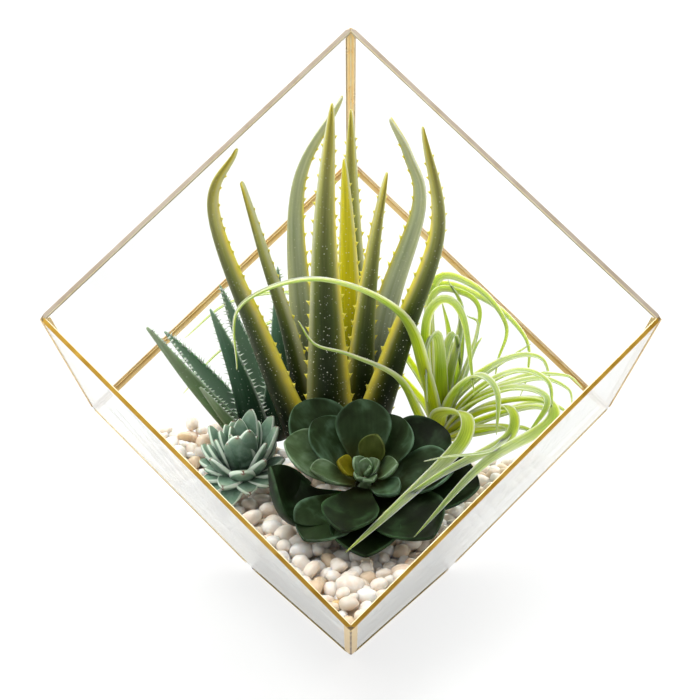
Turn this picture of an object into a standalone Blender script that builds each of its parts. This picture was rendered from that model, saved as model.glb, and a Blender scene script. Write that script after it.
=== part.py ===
# Open glass terrarium: a cube standing on its cut corner, with succulents and an air plant in white pebbles.
# Metres, +Z up. The origin is the middle of the base on the floor, and the open face looks along -Y.
import math

import bmesh
import bpy
import numpy as np
from mathutils import Vector

OBJECT = "plant_terrarium"

# Glass case
EDGE = 0.200  # side of the cube
CORNER_CUT = 0.075  # length of each lower edge that the cut takes off
SHEET = 0.0005  # thickness of the brass sheet
STRIP_WIDTH = 0.003  # leg of a folded strip
RIM_WIDTH = 0.0026  # leg of a rim strip across the pane's front edge
GLASS = 0.0018
GAP = 0.0003  # clearance between neighbours
PANE_DEPTH = SHEET + GAP  # from the outside of the brass to the pane
INSIDE_DEPTH = PANE_DEPTH + GLASS

# Pebble bed
BED_DEPTH = INSIDE_DEPTH + GAP
BED_TOP = 0.057
MOUND_HEIGHT = 0.007
MOUND_CENTRE = (-0.078, 0.056)
MOUND_RADIUS = 0.032
BED_STEPS = 12  # subdivisions of the triangular top

# Leaves
LEAF_RINGS = 11
ACROSS = (-1.0, -0.62, 0.0, 0.62, 1.0)  # where a leaf section has points, in half widths
STRAP_RINGS = 14
STRAP_THICKNESS = 0.0016
STEM_SIDES = 16

UP = np.array([0.0, 0.0, 1.0])


# ---------------------------------------------------------------- the cube's faces

def cube_directions():
    """The three edges that leave the bottom corner, towards the front, the left and the right."""
    across, down = math.sqrt(2 / 3), 1 / math.sqrt(3)
    turn = math.radians(120)
    return {
        name: np.array([across * math.sin(k * turn), -across * math.cos(k * turn), down])
        for name, k in (("front", 0), ("right", 1), ("left", -1))
    }


def cube_faces():
    """Each face's outward normal and its distance from the origin."""
    toward = cube_directions()
    corner = np.array([0.0, 0.0, -CORNER_CUT / math.sqrt(3)])
    planes = {
        "front": (toward["front"], corner + EDGE * toward["front"]),
        "upper_left": (toward["left"], corner + EDGE * toward["left"]),
        "upper_right": (toward["right"], corner + EDGE * toward["right"]),
        "back": (-toward["front"], corner),
        "lower_left": (-toward["right"], corner),
        "lower_right": (-toward["left"], corner),
        "base": (-UP, np.zeros(3)),
    }
    return {name: (normal, float(normal @ point)) for name, (normal, point) in planes.items()}


FACES = cube_faces()


def meet(*depths):
    """The point at the given depth below each of three faces."""
    normals = np.array([FACES[face][0] for face, _ in depths])
    reach = np.array([FACES[face][1] - depth for face, depth in depths])
    return np.linalg.solve(normals, reach)


# Each pane's neighbours, in order round its outline
PANES = {
    "upper_left": ("front", "upper_right", "back", "lower_left"),
    "upper_right": ("front", "lower_right", "back", "upper_left"),
    "lower_left": ("front", "upper_left", "back", "base", "lower_right"),
    "lower_right": ("front", "lower_left", "base", "back", "upper_right"),
    "back": ("upper_left", "upper_right", "lower_right", "base", "lower_left"),
    "base": ("back", "lower_right", "lower_left"),
}

# Each strip's two faces, then the face that ends it at either end
STRIPS = {
    "rim_strip_upper_left": ("front", "upper_left", "upper_right", "lower_left"),
    "rim_strip_upper_right": ("front", "upper_right", "upper_left", "lower_right"),
    "rim_strip_lower_left": ("front", "lower_left", "upper_left", "lower_right"),
    "rim_strip_lower_right": ("front", "lower_right", "upper_right", "lower_left"),
    "top_strip": ("upper_left", "upper_right", "front", "back"),
    "side_strip_left": ("upper_left", "lower_left", "front", "back"),
    "side_strip_right": ("upper_right", "lower_right", "front", "back"),
    "front_foot_strip": ("lower_left", "lower_right", "front", "base"),
    "back_strip_upper_left": ("back", "upper_left", "upper_right", "lower_left"),
    "back_strip_upper_right": ("back", "upper_right", "upper_left", "lower_right"),
    "back_strip_lower_left": ("back", "lower_left", "upper_left", "base"),
    "back_strip_lower_right": ("back", "lower_right", "upper_right", "base"),
    "base_strip_left": ("base", "lower_left", "lower_right", "back"),
    "base_strip_right": ("base", "lower_right", "lower_left", "back"),
    "base_strip_back": ("base", "back", "lower_left", "lower_right"),
}


# ---------------------------------------------------------------- plants, by hand

# Tall aloe: each leaf's middle line from its root, just above the flat crown, to its tip, its
# width, and the compass direction, in degrees from +X, that its back looks
TALL_ALOE = dict(middle=(-0.008, 0.029), crown_radius=0.017, crown_top=0.0645, crown_depth=0.005,
                 stem_radius=0.008, foot=0.040, thickness=0.30, hollow=0.06)
TALL_LEAVES = {
    "left_front": dict(way=[(-0.0225, 0.024, 0.0648), (-0.046, 0.011, 0.137), (-0.066, -0.021, 0.218),
                            (-0.053, -0.029, 0.252)], width=0.019, back=232),
    "left_back": dict(way=[(-0.022, 0.033, 0.0648), (-0.031, 0.027, 0.130), (-0.044, 0.014, 0.185),
                           (-0.053, 0.002, 0.226)], width=0.012, back=215),
    "back_left": dict(way=[(-0.015, 0.042, 0.0648), (-0.026, 0.045, 0.140), (-0.027, 0.042, 0.212),
                           (-0.004, 0.038, 0.259)], width=0.014, back=115),
    "front": dict(way=[(-0.010, 0.015, 0.0648), (-0.012, 0.013, 0.130), (-0.013, 0.010, 0.200),
                       (-0.009, 0.006, 0.264)], width=0.025, back=268),
    "middle": dict(way=[(-0.010, 0.028, 0.0648), (-0.004, 0.030, 0.130), (-0.003, 0.030, 0.185),
                        (-0.004, 0.028, 0.230)], width=0.009, back=190),
    "back": dict(way=[(-0.001, 0.043, 0.0648), (0.001, 0.046, 0.130), (0.000, 0.045, 0.205),
                      (0.000, 0.042, 0.251)], width=0.012, back=80),
    "middle_right": dict(way=[(0.000, 0.030, 0.0648), (0.003, 0.031, 0.135), (0.010, 0.028, 0.185),
                              (0.018, 0.024, 0.225)], width=0.011, back=350),
    "right_back": dict(way=[(0.007, 0.036, 0.0648), (0.019, 0.034, 0.145), (0.035, 0.024, 0.206),
                            (0.029, 0.020, 0.234), (0.019, 0.016, 0.254)], width=0.015, back=320),
    "right_front": dict(way=[(0.005, 0.021, 0.0648), (0.026, 0.016, 0.137), (0.043, -0.001, 0.202),
                             (0.034, -0.013, 0.258)], width=0.017, back=305),
}

SMALL_ALOE = dict(middle=(-0.050, 0.055), crown_radius=0.011, crown_top=0.0655, crown_depth=0.004,
                  stem_radius=0.005, foot=0.053, thickness=0.28, hollow=0.08)
SMALL_LEAVES = {
    "low_left": dict(way=[(-0.057, 0.049, 0.0658), (-0.073, 0.042, 0.085), (-0.084, 0.036, 0.110)],
                     width=0.008, back=215),
    "left": dict(way=[(-0.060, 0.055, 0.0658), (-0.084, 0.045, 0.100), (-0.106, 0.035, 0.137)],
                 width=0.010, back=220),
    "left_back": dict(way=[(-0.057, 0.061, 0.0658), (-0.077, 0.061, 0.092), (-0.094, 0.056, 0.121)],
                      width=0.008, back=190),
    "front": dict(way=[(-0.051, 0.047, 0.0658), (-0.062, 0.047, 0.105), (-0.073, 0.047, 0.138)],
                  width=0.010, back=240),
    "back": dict(way=[(-0.049, 0.063, 0.0658), (-0.057, 0.068, 0.105), (-0.069, 0.066, 0.143)],
                 width=0.009, back=150),
    "right": dict(way=[(-0.042, 0.053, 0.0658), (-0.038, 0.057, 0.110), (-0.038, 0.063, 0.161)],
                  width=0.010, back=300),
}

# Dark echeveria, a rosette on a stem that leans forward: each leaf's direction round the stem
# from +X, its rise from the rosette's plane, both in degrees, its length and width, and where it
# leaves the stem, up from the rosette's middle
ROSETTE = dict(middle=(0.007, -0.022, 0.078), lean=25, stem_radius=0.005, foot=0.040, thickness=0.0022,
               hollow=0.06)
ROSETTE_LEAVES = {
    "under_front": dict(turn=-90, rise=19, length=0.048, width=0.032, height=-0.0125),
    "under_right": dict(turn=-8, rise=18, length=0.055, width=0.034, height=-0.012),
    "under_left": dict(turn=-163, rise=22, length=0.053, width=0.035, height=-0.0125),
    "low_right": dict(turn=-52, rise=17, length=0.050, width=0.034, height=-0.0080),
    "low_left": dict(turn=-122, rise=22, length=0.048, width=0.031, height=-0.0080),
    "back_right": dict(turn=30, rise=22, length=0.047, width=0.035, height=-0.0090),
    "back_left": dict(turn=133, rise=28, length=0.051, width=0.032, height=-0.0085),
    "front": dict(turn=-103, rise=24, length=0.042, width=0.027, height=-0.0040),
    "right": dict(turn=-2, rise=23, length=0.043, width=0.028, height=-0.0058),
    "left": dict(turn=162, rise=28, length=0.042, width=0.026, height=-0.0055),
    "upper_right": dict(turn=58, rise=32, length=0.032, width=0.026, height=-0.0030),
    "upper_left": dict(turn=136, rise=31, length=0.036, width=0.023, height=-0.0020),
    "top": dict(turn=92, rise=40, length=0.036, width=0.025, height=0.0010),
    "inner_left": dict(turn=-167, rise=42, length=0.028, width=0.013, height=-0.001),
    "inner_front": dict(turn=-42, rise=26, length=0.019, width=0.013, height=-0.001),
    "inner_right": dict(turn=-2, rise=46, length=0.016, width=0.011, height=0.0015),
    "heart_back": dict(turn=58, rise=60, length=0.018, width=0.013, height=0.0035),
    "heart_left": dict(turn=172, rise=54, length=0.012, width=0.009, height=0.0035),
}

# Chalky echeveria: plump leaves in a spiral round a core that leans to the front and left
CHALKY = dict(middle=(-0.056, 0.006, 0.070), axis=(-0.12, -0.45, 0.88), core_radius=0.0070,
              stem_radius=0.004, foot=0.044, leaves=20, golden_turn=137.5, outer_rise=8, inner_rise=80,
              outer_length=0.020, inner_length=0.011, outer_width=0.011, inner_width=0.006)

# Air plant: each strap leaf's middle line, after the crown, and its width
AIR_PLANT = dict(crown=(0.045, 0.031, 0.074), crown_radius=0.008, stem_radius=0.004, foot=0.044)
STRAPS = {
    "over_front": dict(way=[(0.037, 0.020, 0.115), (0.023, 0.004, 0.157), (-0.016, -0.006, 0.178),
                            (-0.053, -0.018, 0.169), (-0.056, -0.017, 0.135)], width=0.0075),
    "beside_aloe": dict(way=[(0.035, 0.021, 0.092), (0.023, 0.006, 0.121), (-0.001, 0.000, 0.136),
                             (-0.018, -0.003, 0.143), (-0.026, -0.006, 0.157)], width=0.0060),
    "front_curl": dict(way=[(0.046, 0.018, 0.095), (0.057, 0.000, 0.102), (0.053, -0.018, 0.094),
                            (0.022, -0.052, 0.078), (-0.003, -0.078, 0.066)], width=0.0080),
    "long_sweep": dict(way=[(0.072, 0.028, 0.096), (0.098, 0.016, 0.104), (0.099, -0.002, 0.099),
                            (0.065, -0.026, 0.088), (0.030, -0.066, 0.068)], width=0.0070),
    "low_sweep": dict(way=[(0.064, 0.023, 0.093), (0.080, 0.010, 0.102), (0.078, -0.008, 0.094),
                           (0.045, -0.034, 0.087), (0.015, -0.054, 0.075)], width=0.0070),
    "hook_front": dict(way=[(0.053, 0.023, 0.104), (0.064, 0.013, 0.119), (0.073, 0.002, 0.115),
                            (0.073, -0.008, 0.096)], width=0.0065),
    "tall_hook": dict(way=[(0.038, 0.027, 0.115), (0.038, 0.025, 0.146), (0.047, 0.022, 0.158),
                           (0.057, 0.018, 0.148), (0.063, 0.013, 0.108)], width=0.0065),
    "back_hook": dict(way=[(0.040, 0.043, 0.110), (0.042, 0.048, 0.150), (0.058, 0.050, 0.151),
                           (0.067, 0.048, 0.141), (0.062, 0.046, 0.116)], width=0.0060),
    "back_arc": dict(way=[(0.041, 0.046, 0.108), (0.044, 0.057, 0.154), (0.066, 0.060, 0.149),
                          (0.081, 0.056, 0.130), (0.078, 0.052, 0.112)], width=0.0060),
    "outer_arc": dict(way=[(0.044, 0.045, 0.100), (0.043, 0.059, 0.148), (0.070, 0.062, 0.142),
                           (0.091, 0.058, 0.123), (0.094, 0.052, 0.106)], width=0.0065),
    "right_hook": dict(way=[(0.055, 0.040, 0.096), (0.080, 0.048, 0.113), (0.099, 0.047, 0.115),
                            (0.105, 0.042, 0.100)], width=0.0060),
    "thin_right": dict(way=[(0.058, 0.042, 0.097), (0.095, 0.056, 0.120)], width=0.0045),
    "right_far": dict(way=[(0.062, 0.037, 0.092), (0.089, 0.044, 0.105), (0.111, 0.038, 0.109),
                           (0.120, 0.034, 0.104)], width=0.0055),
    "right_mid": dict(way=[(0.066, 0.034, 0.097), (0.095, 0.033, 0.109), (0.111, 0.026, 0.107),
                           (0.114, 0.022, 0.099)], width=0.0060),
    "right_turn": dict(way=[(0.060, 0.026, 0.096), (0.083, 0.018, 0.110), (0.099, 0.006, 0.109),
                            (0.088, -0.004, 0.093)], width=0.0070),
    "left_tip": dict(way=[(0.062, 0.021, 0.086), (0.077, 0.006, 0.093), (0.071, -0.010, 0.090),
                          (0.034, -0.019, 0.092)], width=0.0055),
    "behind_high": dict(way=[(0.039, 0.045, 0.098), (0.012, 0.062, 0.129), (-0.027, 0.073, 0.141),
                             (-0.063, 0.072, 0.137), (-0.088, 0.063, 0.120)], width=0.0050),
    "behind_low": dict(way=[(0.036, 0.046, 0.092), (0.000, 0.064, 0.121), (-0.030, 0.077, 0.127),
                            (-0.068, 0.076, 0.109), (-0.090, 0.068, 0.086)], width=0.0050),
    "inner_up": dict(way=[(0.047, 0.034, 0.112), (0.053, 0.038, 0.132), (0.057, 0.041, 0.112)],
                     width=0.0060),
    "inner_right": dict(way=[(0.058, 0.032, 0.109), (0.066, 0.039, 0.136), (0.060, 0.045, 0.140)],
                        width=0.0060),
}


# ---------------------------------------------------------------- building helpers

def clear_scene():
    for item in list(bpy.data.objects):
        bpy.data.objects.remove(item)


def make_collection(name, hidden=False, parent=None):
    made = bpy.data.collections.new(name)
    made.hide_render = hidden
    (parent or bpy.context.scene.collection).children.link(made)
    return made


def make_material(name, colour, roughness, metallic=0.0, transmission=0.0):
    made = bpy.data.materials.new(name)
    made.use_nodes = True
    shader = made.node_tree.nodes["Principled BSDF"]
    shader.inputs["Base Color"].default_value = (*colour, 1.0)
    shader.inputs["Roughness"].default_value = roughness
    shader.inputs["Metallic"].default_value = metallic
    shader.inputs["Transmission Weight"].default_value = transmission
    made.diffuse_color = (*colour, 1.0)
    return made


def mesh_object(name, shape, material, smooth=True):
    """A new object of the part from a bmesh, its faces turned outwards."""
    bmesh.ops.recalc_face_normals(shape, faces=shape.faces)
    mesh = bpy.data.meshes.new(name)
    shape.to_mesh(mesh)
    shape.free()
    if smooth:
        mesh.shade_smooth()
        mesh.set_sharp_from_angle(angle=math.radians(50))
    made = bpy.data.objects.new(name, mesh)
    if material:
        made.data.materials.append(material)
    return made


def loft(rings, tip=None):
    """A closed bmesh through rings of equally many points, ending in a cap or in one point."""
    shape = bmesh.new()
    rows = [[shape.verts.new(point) for point in ring] for ring in rings]
    around = len(rows[0])
    for lower, upper in zip(rows, rows[1:]):
        for k in range(around):
            after = (k + 1) % around
            shape.faces.new((lower[k], lower[after], upper[after], upper[k]))
    shape.faces.new(rows[0][::-1])
    if tip is None:
        shape.faces.new(rows[-1])
    else:
        point = shape.verts.new(tip)
        for k in range(around):
            shape.faces.new((rows[-1][k], rows[-1][(k + 1) % around], point))
    return shape


def smooth_way(points, count):
    """Evenly spaced points along a smooth curve through the given ones."""
    given = np.array(points, float)
    ends = np.vstack([2 * given[0] - given[1], given, 2 * given[-1] - given[-2]])
    steps = np.linspace(0, 1, 16, endpoint=False)[:, None]
    runs = [
        b + 0.5 * steps * ((c - a) + steps * ((2 * a - 5 * b + 4 * c - d) + steps * (3 * b - a - 3 * c + d)))
        for a, b, c, d in zip(ends, ends[1:], ends[2:], ends[3:])
    ]
    dense = np.vstack([*runs, given[-1:]])
    lengths = np.linalg.norm(np.diff(dense, axis=0), axis=1)
    run = np.concatenate([[0.0], np.cumsum(lengths)])
    wanted = np.linspace(0, run[-1], count)
    return np.column_stack([np.interp(wanted, run, dense[:, axis]) for axis in range(3)])


def unit(vector):
    return np.asarray(vector, float) / np.linalg.norm(vector)


def crescent(width, thickness, hollow):
    """Points round a leaf's section, as (across, out): a fuller back and a hollowed inner side."""
    middle = hollow + thickness / 2
    back = [(x * width / 2, (hollow + thickness) * (1 - x * x) - middle) for x in ACROSS]
    inner = [(x * width / 2, hollow * (1 - x * x) - middle) for x in ACROSS[-2:0:-1]]
    return back + inner


def leaf_rings(way, side, sections, start=None):
    """The rings of a leaf along its way. side runs across its root, and start squarely out of it."""
    tangents = np.gradient(way, axis=0)
    if start is not None:
        tangents[0] = start
    rings = []
    for point, tangent, section in zip(way, tangents, sections):
        tangent = unit(tangent)
        side = unit(side - tangent * (side @ tangent))
        out = np.cross(tangent, side)
        rings.append([point + side * x + out * y for x, y in section])
    return rings


def leaf_shape(way, side, width_at, width, thickness, hollow, start=None):
    """A leaf as a closed bmesh. width_at gives the share of its width at each share of its length."""
    shares = [width_at(t) for t in np.linspace(0, 1, len(way))[:-1]]
    sections = [crescent(width * s, thickness * (0.35 + 0.65 * s), hollow * s) for s in shares]
    return loft(leaf_rings(way, side, sections, start), tip=way[-1])


# ---------------------------------------------------------------- case

def pane_shape(face, depth=PANE_DEPTH, thickness=GLASS):
    """A pane whose edges are bevelled to meet its neighbours in a mitre."""
    neighbours = PANES[face]
    rings = []
    for own in (depth, depth + thickness):
        ring = []
        for first, second in zip(neighbours, neighbours[1:] + neighbours[:1]):
            edges = [(n, depth if n == "front" else own + GAP / 2) for n in (first, second)]
            ring.append(meet((face, own), *edges))
        rings.append(ring)
    return loft(rings)


def strip_shape(first, second, start, end):
    """A folded strip along the edge of two faces, mitred where it meets the strips at its ends."""
    wide_first = RIM_WIDTH if first == "front" else STRIP_WIDTH
    section = (
        (0, 0, 0),
        (0, wide_first, wide_first),
        (SHEET, wide_first, wide_first),
        (SHEET, SHEET, SHEET),
        (STRIP_WIDTH, SHEET, STRIP_WIDTH),
        (STRIP_WIDTH, 0, STRIP_WIDTH),
    )
    shape = bmesh.new()
    rows = [
        [shape.verts.new(meet((first, a), (second, b), (last, c + GAP / 2))) for a, b, c in section]
        for last in (start, end)
    ]
    for k in range(6):
        after = (k + 1) % 6
        shape.faces.new((rows[0][k], rows[0][after], rows[1][after], rows[1][k]))
    for row in rows:
        shape.faces.new((row[0], row[1], row[2], row[3]))
        shape.faces.new((row[0], row[3], row[4], row[5]))
    return shape


def build_case(part, brass, glass):
    for face in PANES:
        part.objects.link(mesh_object(f"pane_{face}", pane_shape(face), glass, smooth=False))
    for name, faces in STRIPS.items():
        part.objects.link(mesh_object(name, strip_shape(*faces), brass, smooth=False))


# ---------------------------------------------------------------- pebble bed

def bed_height(x, y):
    away = math.hypot(x - MOUND_CENTRE[0], y - MOUND_CENTRE[1])
    return BED_TOP + MOUND_HEIGHT * math.exp(-((away / MOUND_RADIUS) ** 2))


def bed_corners(height):
    """The three corners of the space inside the case at a height."""
    walls = (("lower_left", "lower_right"), ("lower_right", "back"), ("back", "lower_left"))
    return [meet((a, BED_DEPTH), (b, BED_DEPTH), ("base", height)) for a, b in walls]


def bed_point(weights):
    """A point of the bed's top, which slides along the walls to its own height."""
    point = sum(w * c for w, c in zip(weights, bed_corners(BED_TOP)))
    height = bed_height(point[0], point[1])
    return sum(w * c for w, c in zip(weights, bed_corners(height)))


def bed_shape():
    """Stones filled to the walls: a triangular grid on top, flat sides and a flat bottom."""
    shape = bmesh.new()
    n = BED_STEPS
    top = {
        (i, j): shape.verts.new(bed_point((i / n, j / n, (n - i - j) / n)))
        for i in range(n + 1)
        for j in range(n + 1 - i)
    }
    for i, j in top:
        if i + j < n:
            shape.faces.new((top[i, j], top[i + 1, j], top[i, j + 1]))
        if i + j < n - 1:
            shape.faces.new((top[i + 1, j], top[i + 1, j + 1], top[i, j + 1]))
    low = [shape.verts.new(corner) for corner in bed_corners(BED_DEPTH)]
    chains = (
        [top[n - s, s] for s in range(n + 1)],
        [top[0, n - s] for s in range(n + 1)],
        [top[s, 0] for s in range(n + 1)],
    )
    for k, chain in enumerate(chains):
        shape.faces.new((*chain, low[(k + 1) % 3], low[k]))
    shape.faces.new(low)
    return shape


def cut_socket(bed, cutters, name, foot, axis, radius):
    """A hole in the bed for a stem, wider than the stem by the clearance."""
    depth = 0.060
    bpy.ops.mesh.primitive_cylinder_add(vertices=STEM_SIDES, radius=radius + GAP, depth=depth)
    cutter = bpy.context.object
    cutter.name = f"socket_{name}"
    for old in list(cutter.users_collection):
        old.objects.unlink(cutter)
    cutters.objects.link(cutter)
    direction = Vector(unit(axis))
    cutter.rotation_euler = direction.to_track_quat("Z", "Y").to_euler()
    cutter.location = Vector(foot) + direction * (depth / 2 - GAP)
    cutter.hide_render = True
    cutter.display_type = "WIRE"
    modifier = bed.modifiers.new(cutter.name, "BOOLEAN")
    modifier.operation = "DIFFERENCE"
    modifier.solver = "EXACT"
    modifier.object = cutter


# ---------------------------------------------------------------- plants

def compass(degrees):
    return np.array([math.cos(math.radians(degrees)), math.sin(math.radians(degrees)), 0.0])


def turned(name, profile, material, location=(0, 0, 0), lean=0):
    """A closed turned shape from half its outline, which runs from the top to the bottom."""
    shape = bmesh.new()
    points = [shape.verts.new((radius, 0, height)) for radius, height in profile]
    for upper, lower in zip(points, points[1:]):
        shape.edges.new((upper, lower))
    mesh = bpy.data.meshes.new(name)
    shape.to_mesh(mesh)
    shape.free()
    made = bpy.data.objects.new(name, mesh)
    made.data.materials.append(material)
    made.location = location
    made.rotation_euler = (math.radians(lean), 0, 0)
    screw = made.modifiers.new("turn", "SCREW")
    screw.steps = screw.render_steps = STEM_SIDES
    screw.use_merge_vertices = True
    screw.merge_threshold = 0.00001
    return made


def aloe_width(t):
    """Narrow where it joins the crown, full a little above, then a long taper."""
    return min(0.55 + 3.0 * t, 1.0) * (1 - t) ** 0.8


def rosette_width(t):
    """A spoon: narrow at the stem, widest past the middle, round at the end."""
    return 0.21 * (1 - t) + 0.93 * math.sin(math.pi * t**1.45) ** 0.8


def plump_width(t):
    """Widest just past the middle, with a short point."""
    return 0.45 * (1 - t) + 0.75 * math.sin(math.pi * t**1.2) ** 0.9


def strap_width(t):
    return (1 - t) ** 0.55


def build_aloe(part, name, plant, leaves, material):
    """A crown with a flat top, which stands in the bed on a stem, and the leaves on it."""
    x, y = plant["middle"]
    radius, top, depth = plant["crown_radius"], plant["crown_top"], plant["crown_depth"]
    stem, foot = plant["stem_radius"], plant["foot"]
    profile = [(0, top), (radius, top), (radius, top - 0.2 * depth), (stem, top - depth), (stem, foot)]
    part.objects.link(turned(f"{name}_crown", [*profile, (0, foot)], material, (x, y, 0)))
    for label, leaf in leaves.items():
        way, width = smooth_way(leaf["way"], LEAF_RINGS), leaf["width"]
        side = np.cross(compass(leaf["back"]), UP)
        thickness, hollow = plant["thickness"] * width, plant["hollow"] * width
        shape = leaf_shape(way, side, aloe_width, width, thickness, hollow, start=UP)
        part.objects.link(mesh_object(f"{name}_leaf_{label}", shape, material))
    return (x, y, foot)


def rosette_frame():
    """The leaning rosette's axis, and its directions to the right and the back."""
    lean = math.radians(ROSETTE["lean"])
    axis = np.array([0.0, -math.sin(lean), math.cos(lean)])
    right = np.array([1.0, 0.0, 0.0])
    return axis, right, np.cross(axis, right)


def rosette_way(leaf):
    """A leaf's middle line, which leaves the stem and then rises, and its direction at the root."""
    axis, right, back = rosette_frame()
    turn, rise = math.radians(leaf["turn"]), math.radians(leaf["rise"])
    outward = right * math.cos(turn) + back * math.sin(turn)
    t = np.linspace(0, 1, LEAF_RINGS)[:, None]
    reach = ROSETTE["stem_radius"] + 1.2 * GAP + leaf["length"] * math.cos(rise) * t
    climb = leaf["height"] + leaf["length"] * math.sin(rise) * t**1.4
    return np.array(ROSETTE["middle"]) + outward * reach + axis * climb, outward


def build_rosette(part, material):
    """The stem with its bud, and the leaves. Gives the stem's foot and axis."""
    axis = rosette_frame()[0]
    middle, radius = np.array(ROSETTE["middle"]), ROSETTE["stem_radius"]
    length = (middle[2] - ROSETTE["foot"]) / axis[2]
    profile = [(0, 0.009), (0.6 * radius, 0.0075), (radius, 0.004), (radius, -length), (0, -length)]
    part.objects.link(turned("echeveria_stem", profile, material, middle, ROSETTE["lean"]))
    for label, leaf in ROSETTE_LEAVES.items():
        way, outward = rosette_way(leaf)
        width, side = leaf["width"], np.cross(outward, axis)
        thickness, hollow = ROSETTE["thickness"], ROSETTE["hollow"] * width
        shape = leaf_shape(way, side, rosette_width, width, thickness, hollow, start=outward)
        part.objects.link(mesh_object(f"echeveria_leaf_{label}", shape, material))
    return middle - axis * length, axis


def join(item, pieces, cutters):
    """Adds the pieces to the item in one Boolean union."""
    group = make_collection(f"{item.name}_pieces", hidden=True, parent=cutters)
    for piece in pieces:
        piece.hide_render = True
        piece.display_type = "WIRE"
        group.objects.link(piece)
    modifier = item.modifiers.new("join", "BOOLEAN")
    modifier.operation = "UNION"
    modifier.solver = "EXACT"
    modifier.operand_type = "COLLECTION"
    modifier.collection = group


def build_chalky(part, cutters, material):
    middle, axis = np.array(CHALKY["middle"]), unit(CHALKY["axis"])
    right = unit(np.cross(axis, UP))
    back = np.cross(axis, right)
    stem, core, foot = CHALKY["stem_radius"], CHALKY["core_radius"], CHALKY["foot"]
    profile = [(core * math.sin(a), middle[2] + core * math.cos(a)) for a in np.radians((0, 40, 80, 115))]
    profile[0] = (0, middle[2] + core)
    profile += [(stem, middle[2] - 0.9 * core), (stem, foot), (0, foot)]
    plant = turned("chalky_echeveria", profile, material, (middle[0], middle[1], 0))
    leaves = []
    for k in range(CHALKY["leaves"]):
        share = k / (CHALKY["leaves"] - 1)
        turn = math.radians(CHALKY["golden_turn"] * k)
        rise = math.radians(CHALKY["outer_rise"] + (CHALKY["inner_rise"] - CHALKY["outer_rise"]) * share)
        length = CHALKY["outer_length"] + (CHALKY["inner_length"] - CHALKY["outer_length"]) * share
        width = CHALKY["outer_width"] + (CHALKY["inner_width"] - CHALKY["outer_width"]) * share
        outward = right * math.cos(turn) + back * math.sin(turn)
        heading = outward * math.cos(rise) + axis * math.sin(rise)
        root = middle + heading * 0.4 * core
        way = root + heading * np.linspace(0, length + 0.6 * core, 8)[:, None]
        side = np.cross(outward, axis)
        shape = leaf_shape(way, side, plump_width, width, 0.42 * width, 0.03 * width)
        leaves.append(mesh_object(f"chalky_leaf_{k}", shape, material))
    join(plant, leaves, cutters)
    part.objects.link(plant)
    return (middle[0], middle[1], foot)


def strap_shape(way, width):
    """A strap leaf with a channel along its inner side."""
    points = smooth_way([AIR_PLANT["crown"], *way], STRAP_RINGS)
    outward = (points[STRAP_RINGS // 2] - points[0]) * (1, 1, 0)
    side = np.cross(unit(outward), UP)
    sections = []
    for t in np.linspace(0, 1, STRAP_RINGS)[:-1]:
        half, thick = width * strap_width(t) / 2, STRAP_THICKNESS * (0.5 + 0.5 * strap_width(t))
        sections.append([(-half, -0.3 * half), (0, thick / 2), (half, -0.3 * half), (0, -thick / 2)])
    return loft(leaf_rings(points, side, sections), tip=points[-1])


def build_air_plant(part, cutters, material):
    x, y, z = AIR_PLANT["crown"]
    radius, stem, foot = AIR_PLANT["crown_radius"], AIR_PLANT["stem_radius"], AIR_PLANT["foot"]
    profile = [(0, z + 0.006), (0.6 * radius, z + 0.005), (radius, z - 0.002), (stem, z - 0.012),
               (stem, foot), (0, foot)]
    plant = turned("air_plant", profile, material, (x, y, 0))
    straps = [
        mesh_object(f"strap_{label}", strap_shape(strap["way"], strap["width"]), material)
        for label, strap in STRAPS.items()
    ]
    join(plant, straps, cutters)
    part.objects.link(plant)
    return (x, y, foot)


def main():
    clear_scene()
    part = make_collection(OBJECT)
    cutters = make_collection("cutters", hidden=True)
    brass = make_material("brass", (0.62, 0.40, 0.12), 0.3, metallic=1.0)
    glass = make_material("clear_glass", (0.95, 0.97, 0.96), 0.02, transmission=1.0)
    pebbles = make_material("white_pebbles", (0.80, 0.76, 0.70), 0.45)
    aloe = make_material("tall_aloe_green", (0.09, 0.14, 0.03), 0.4)
    blue = make_material("small_aloe_green", (0.05, 0.13, 0.08), 0.45)
    dark = make_material("echeveria_green", (0.02, 0.07, 0.03), 0.45)
    chalk = make_material("chalky_green", (0.18, 0.32, 0.25), 0.6)
    lime = make_material("air_plant_green", (0.35, 0.50, 0.12), 0.6)
    build_case(part, brass, glass)
    bed = mesh_object("pebble_bed", bed_shape(), pebbles, smooth=False)
    part.objects.link(bed)
    stems = {
        "tall_aloe": (build_aloe(part, "tall_aloe", TALL_ALOE, TALL_LEAVES, aloe), UP, TALL_ALOE),
        "small_aloe": (build_aloe(part, "small_aloe", SMALL_ALOE, SMALL_LEAVES, blue), UP, SMALL_ALOE),
        "echeveria": (*build_rosette(part, dark), ROSETTE),
        "chalky": (build_chalky(part, cutters, chalk), UP, CHALKY),
        "air_plant": (build_air_plant(part, cutters, lime), UP, AIR_PLANT),
    }
    for name, (foot, axis, plant) in stems.items():
        cut_socket(bed, cutters, name, foot, axis, plant["stem_radius"])


main()
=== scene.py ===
# Open glass terrarium on a cut corner: two aloes, two echeverias and an air plant in white pebbles.
import math

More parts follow.
